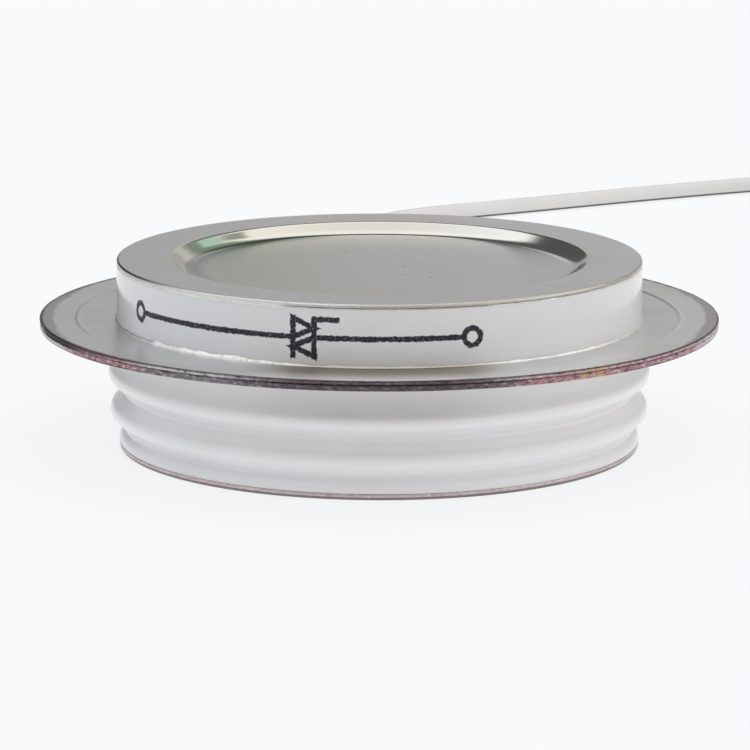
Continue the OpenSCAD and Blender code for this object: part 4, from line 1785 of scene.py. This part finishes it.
@dataclass(frozen=True)
class Studio:
    """Floor, sky, cards and camera.

    Attributes:
        camera_place: Where the camera stands, in metres.
        pitch: How far it looks down, in radians.
        yaw: How far it is turned, in radians.
        roll: How far it is tilted, in radians.
        lens: Focal length in millimetres.
        sensor: Width of the sensor in millimetres.
        floor_half: Half of the floor's width, in metres.
        floor_glow: Light that the floor gives of its own, which keeps shadows soft.
        cards: What the polished parts mirror.
    """

    camera_place: tuple[float, float, float] = (0.0, -0.4616, 0.10254)
    pitch: float = 0.2030
    yaw: float = -0.0010
    roll: float = 0.0020
    lens: float = 203.8
    sensor: float = 36.0
    floor_half: float = 12.0
    floor_glow: float = 0.8
    cards: tuple[Card, ...] = (
        Card("mint_card", 61.7, 36.5, 0.61, (0.135, 0.1), (0.6, 0.84, 0.78)),
        Card("dun_card", 52.4, 45.6, 0.61, (0.1, 0.1), (0.4, 0.44, 0.36)),
    )

    def camera(self) -> None:
        """Makes the camera at the photograph's viewing angle."""
        cos_p, sin_p = math.cos(self.pitch), math.sin(self.pitch)
        ahead = Vector((math.sin(self.yaw) * cos_p, math.cos(self.yaw) * cos_p, -sin_p))
        right = Vector((math.cos(self.yaw), -math.sin(self.yaw), 0))
        up = right.cross(ahead)
        turned = right * math.cos(self.roll) + up * math.sin(self.roll)
        up = turned.cross(ahead)
        data = bpy.data.cameras.new("camera")
        data.lens, data.sensor_width = self.lens, self.sensor
        data.clip_start, data.clip_end = 0.01, 100.0
        seen = placed("camera", data)
        seen.matrix_world = Matrix.Translation(self.camera_place) @ (
            Matrix((turned, up, -ahead)).transposed().to_4x4()
        )
        bpy.context.scene.camera = seen

    def _sheet(self, name: str, width: float, height: float) -> Object:
        """Flat rectangle about the origin, facing +Z.

        Args:
            name: Its name.
            width: Size along X.
            height: Size along Y.

        Returns:
            The object.
        """
        data = bpy.data.meshes.new(name)
        w, h = width / 2, height / 2
        data.from_pydata([(-w, -h, 0), (w, -h, 0), (w, h, 0), (-w, h, 0)], [], [(0, 1, 2, 3)])
        made = placed(name, data)
        return made

    @staticmethod
    def _glow(skin: Skin, tone: Colour | Socket, light: Colour, strength: float) -> Material:
        """Ends a matt material that gives light of its own."""
        glow = {"Emission_Color": (*light, 1.0), "Emission_Strength": strength}
        return skin.dress(tone, 1.0, Specular_IOR_Level=0.0, **glow)

    def floor(self) -> None:
        """Makes the plain pale floor."""
        skin = Skin("studio_floor")
        cloud = skin.noise(0.004, 2.0)
        tone = skin.blend(cloud, (0.16, 0.163, 0.167), (0.165, 0.165, 0.165))
        made = self._sheet("studio_floor", 2 * self.floor_half, 2 * self.floor_half)
        glow = self._glow(skin, tone, (0.98, 0.99, 1.0), self.floor_glow)
        made.data.materials.append(glow)

    def sky(self) -> None:
        """Makes the soft light: bright overhead, grey near the horizon."""
        world = bpy.data.worlds.new("soft_light")
        world.use_nodes = True
        bpy.context.scene.world = world
        bench = Bench(world.node_tree)
        bench.tree.nodes.clear()
        ahead = bench.node("ShaderNodeTexCoord").outputs["Generated"]
        apart = bench.node("ShaderNodeSeparateXYZ", None, {0: ahead})
        x, y, z = (Field(bench, out) for out in apart.outputs)
        back = y.rise(0.0, 0.7)
        side = x * x
        low = (0.5 + side * (0.45 + x.rise(0.0, 1.0) * 0.6)) * (1 - back) + back * 0.48
        low = low + z.rise(0.2, 0.28) * back * 0.22
        top = z.rise(0.46, 0.66)
        level = low * (1 - top) + top * (1.12 + back * 0.26)
        # What the rounded corners of the dish mirror: a dark room, with green to the right
        slant = x / y.upper(0.01)
        lowered = slant.rise(-0.055, -0.14) * 0.12 + slant.rise(-0.1, -0.22) * 0.2
        dusk = (z + lowered).rise(0.31, 0.41) * z.rise(0.71, 0.62) * y.rise(0.2, 0.35)
        dusk = dusk * slant.rise(0.62, 0.54) * slant.rise(-1.0, -0.85)
        level = level * (1 - dusk) + dusk
        tone = bench.blend(x.rise(-0.9, 0.9), (0.975, 1.0, 1.03), (1.04, 1.0, 0.98))
        room = bench.blend(slant.rise(0.05, 0.3), (0.11, 0.11, 0.11), (0.26, 0.36, 0.27))
        tone = bench.blend(dusk, tone, room)
        light = bench.node("ShaderNodeBackground", None, {"Color": tone, "Strength": level})
        bench.node("ShaderNodeOutputWorld", None, {"Surface": light.outputs[0]})

    def reflections(self) -> None:
        """Places the cards round the capsule."""
        for card in self.cards:
            made = self._sheet(card.name, *card.size)
            a, e = math.radians(card.azimuth), math.radians(card.elevation)
            out = Vector((math.cos(a) * math.cos(e), math.sin(a) * math.cos(e), math.sin(e)))
            made.matrix_world = Matrix.Translation(out * card.distance) @ (
                (-out).to_track_quat("Z", "Y").to_matrix().to_4x4()
            )
            made.visible_camera = made.visible_shadow = made.visible_diffuse = False
            glow = self._glow(Skin(card.name), (0.0, 0.0, 0.0), card.light, 1.0)
            made.data.materials.append(glow)

    def build(self) -> None:
        """Makes floor, light and cards."""
        self.floor()
        self.sky()
        self.reflections()
        view = bpy.context.scene.view_settings
        view.view_transform = "Standard"
        view.look = "None"


def finishes() -> Finishes:
    """Makes every finish.

    Returns:
        The materials by slot.
    """
    sizes = Capsule({})
    steel = (0.66, 0.66, 0.65)
    made = [
        CupNickel(
            Slot.LID_NICKEL,
            (0.64, 0.64, 0.625),
            (0.675, 0.67, 0.67),
            (0.63, 0.62, 0.565),
            (0.26, 0.25, 0.235),
            sizes.floor_r,
            sizes.dish_r,
            sizes.band_r,
            sizes.top_z,
            sizes.lid_sheet_t,
            0.35,
        ),
        CupNickel(
            Slot.BASE_NICKEL,
            (0.62, 0.585, 0.58),
            (0.6, 0.54, 0.53),
            (0.53, 0.435, 0.455),
            (0.5, 0.43, 0.44),
            sizes.floor_r,
            sizes.dish_r,
            sizes.foot_r,
            0.0,
            sizes.base_sheet_t,
            1.0,
        ),
        BrimNickel(
            Slot.BRIM_NICKEL,
            sizes.brim_r,
            sizes.step_r,
            sizes.band_r,
            sizes.seam_z,
            sizes.brim_z,
            sizes.brim_low_z,
        ),
        PlainMetal(Slot.TUBE_NICKEL, steel, (0.5, 0.48, 0.44), 0.28),
        GlazedCeramic(
            Slot.BAND_CERAMIC,
            # Painted shade: the band's white is a darker, greyer copy of the ribbed ceramic's
            # glaze
            (0.73, 0.733, 0.745),
            (0.71, 0.715, 0.73),
            (sizes.band_z, sizes.lid_z),
            Mark(sizes.band_r, (sizes.band_z + sizes.lid_z) / 2),
        ),
        GlazedCeramic(
            Slot.RIBBED_CERAMIC,
            (0.84, 0.835, 0.845),
            (0.82, 0.815, 0.825),
            (sizes.base_sheet_t, sizes.seam_z - sizes.sheet_t),
            gloss=0.34,
            under_brim_shade=(7.6, 10.8),
            wear_and_shade=(28.8, 29.7),
        ),
        Braze(Slot.BRAZE),
        PlainMetal(Slot.COPPER, (0.8, 0.46, 0.32), (0.55, 0.27, 0.18), 0.32),
        PlainMetal(Slot.SILVER, (0.88, 0.87, 0.84), (0.66, 0.62, 0.55), 0.26),
        PlainMetal(Slot.MOLYBDENUM, (0.52, 0.53, 0.55), (0.4, 0.4, 0.42), 0.36),
        Wafer(Slot.SILICON),
        Plastic(Slot.SEAL_RUBBER, (0.8, 0.77, 0.7), (0.72, 0.69, 0.62), 0.5),
        Plastic(Slot.INSULATING_PLASTIC, (0.84, 0.83, 0.79), (0.78, 0.77, 0.72), 0.42),
        PlainMetal(Slot.SPRING_STEEL, steel, (0.42, 0.4, 0.36), 0.3),
        PlainMetal(Slot.TINNED_COPPER, (0.8, 0.79, 0.77), (0.6, 0.55, 0.48), 0.34),
        Plastic(Slot.SLEEVE_PLASTIC, (0.82, 0.82, 0.8), (0.77, 0.77, 0.75), 0.4, 0.006),
        Plastic(Slot.LEAD_INSULATION, (0.71, 0.708, 0.695), (0.68, 0.678, 0.67), 0.42, 0.005, 1.0),
    ]
    return {finish.slot: finish.make() for finish in made}


def main() -> None:
    """Builds the studio and every piece, and reports each through the log."""
    logging.basicConfig(level=logging.INFO, format="%(name)s: %(message)s", force=True)
    studio = Studio()
    studio.camera()
    materials = finishes()
    GateLead(materials).build()
    Capsule(materials).build()
    InnerStack().dress(materials)
    studio.build()


if __name__ == "__main__":
    main()
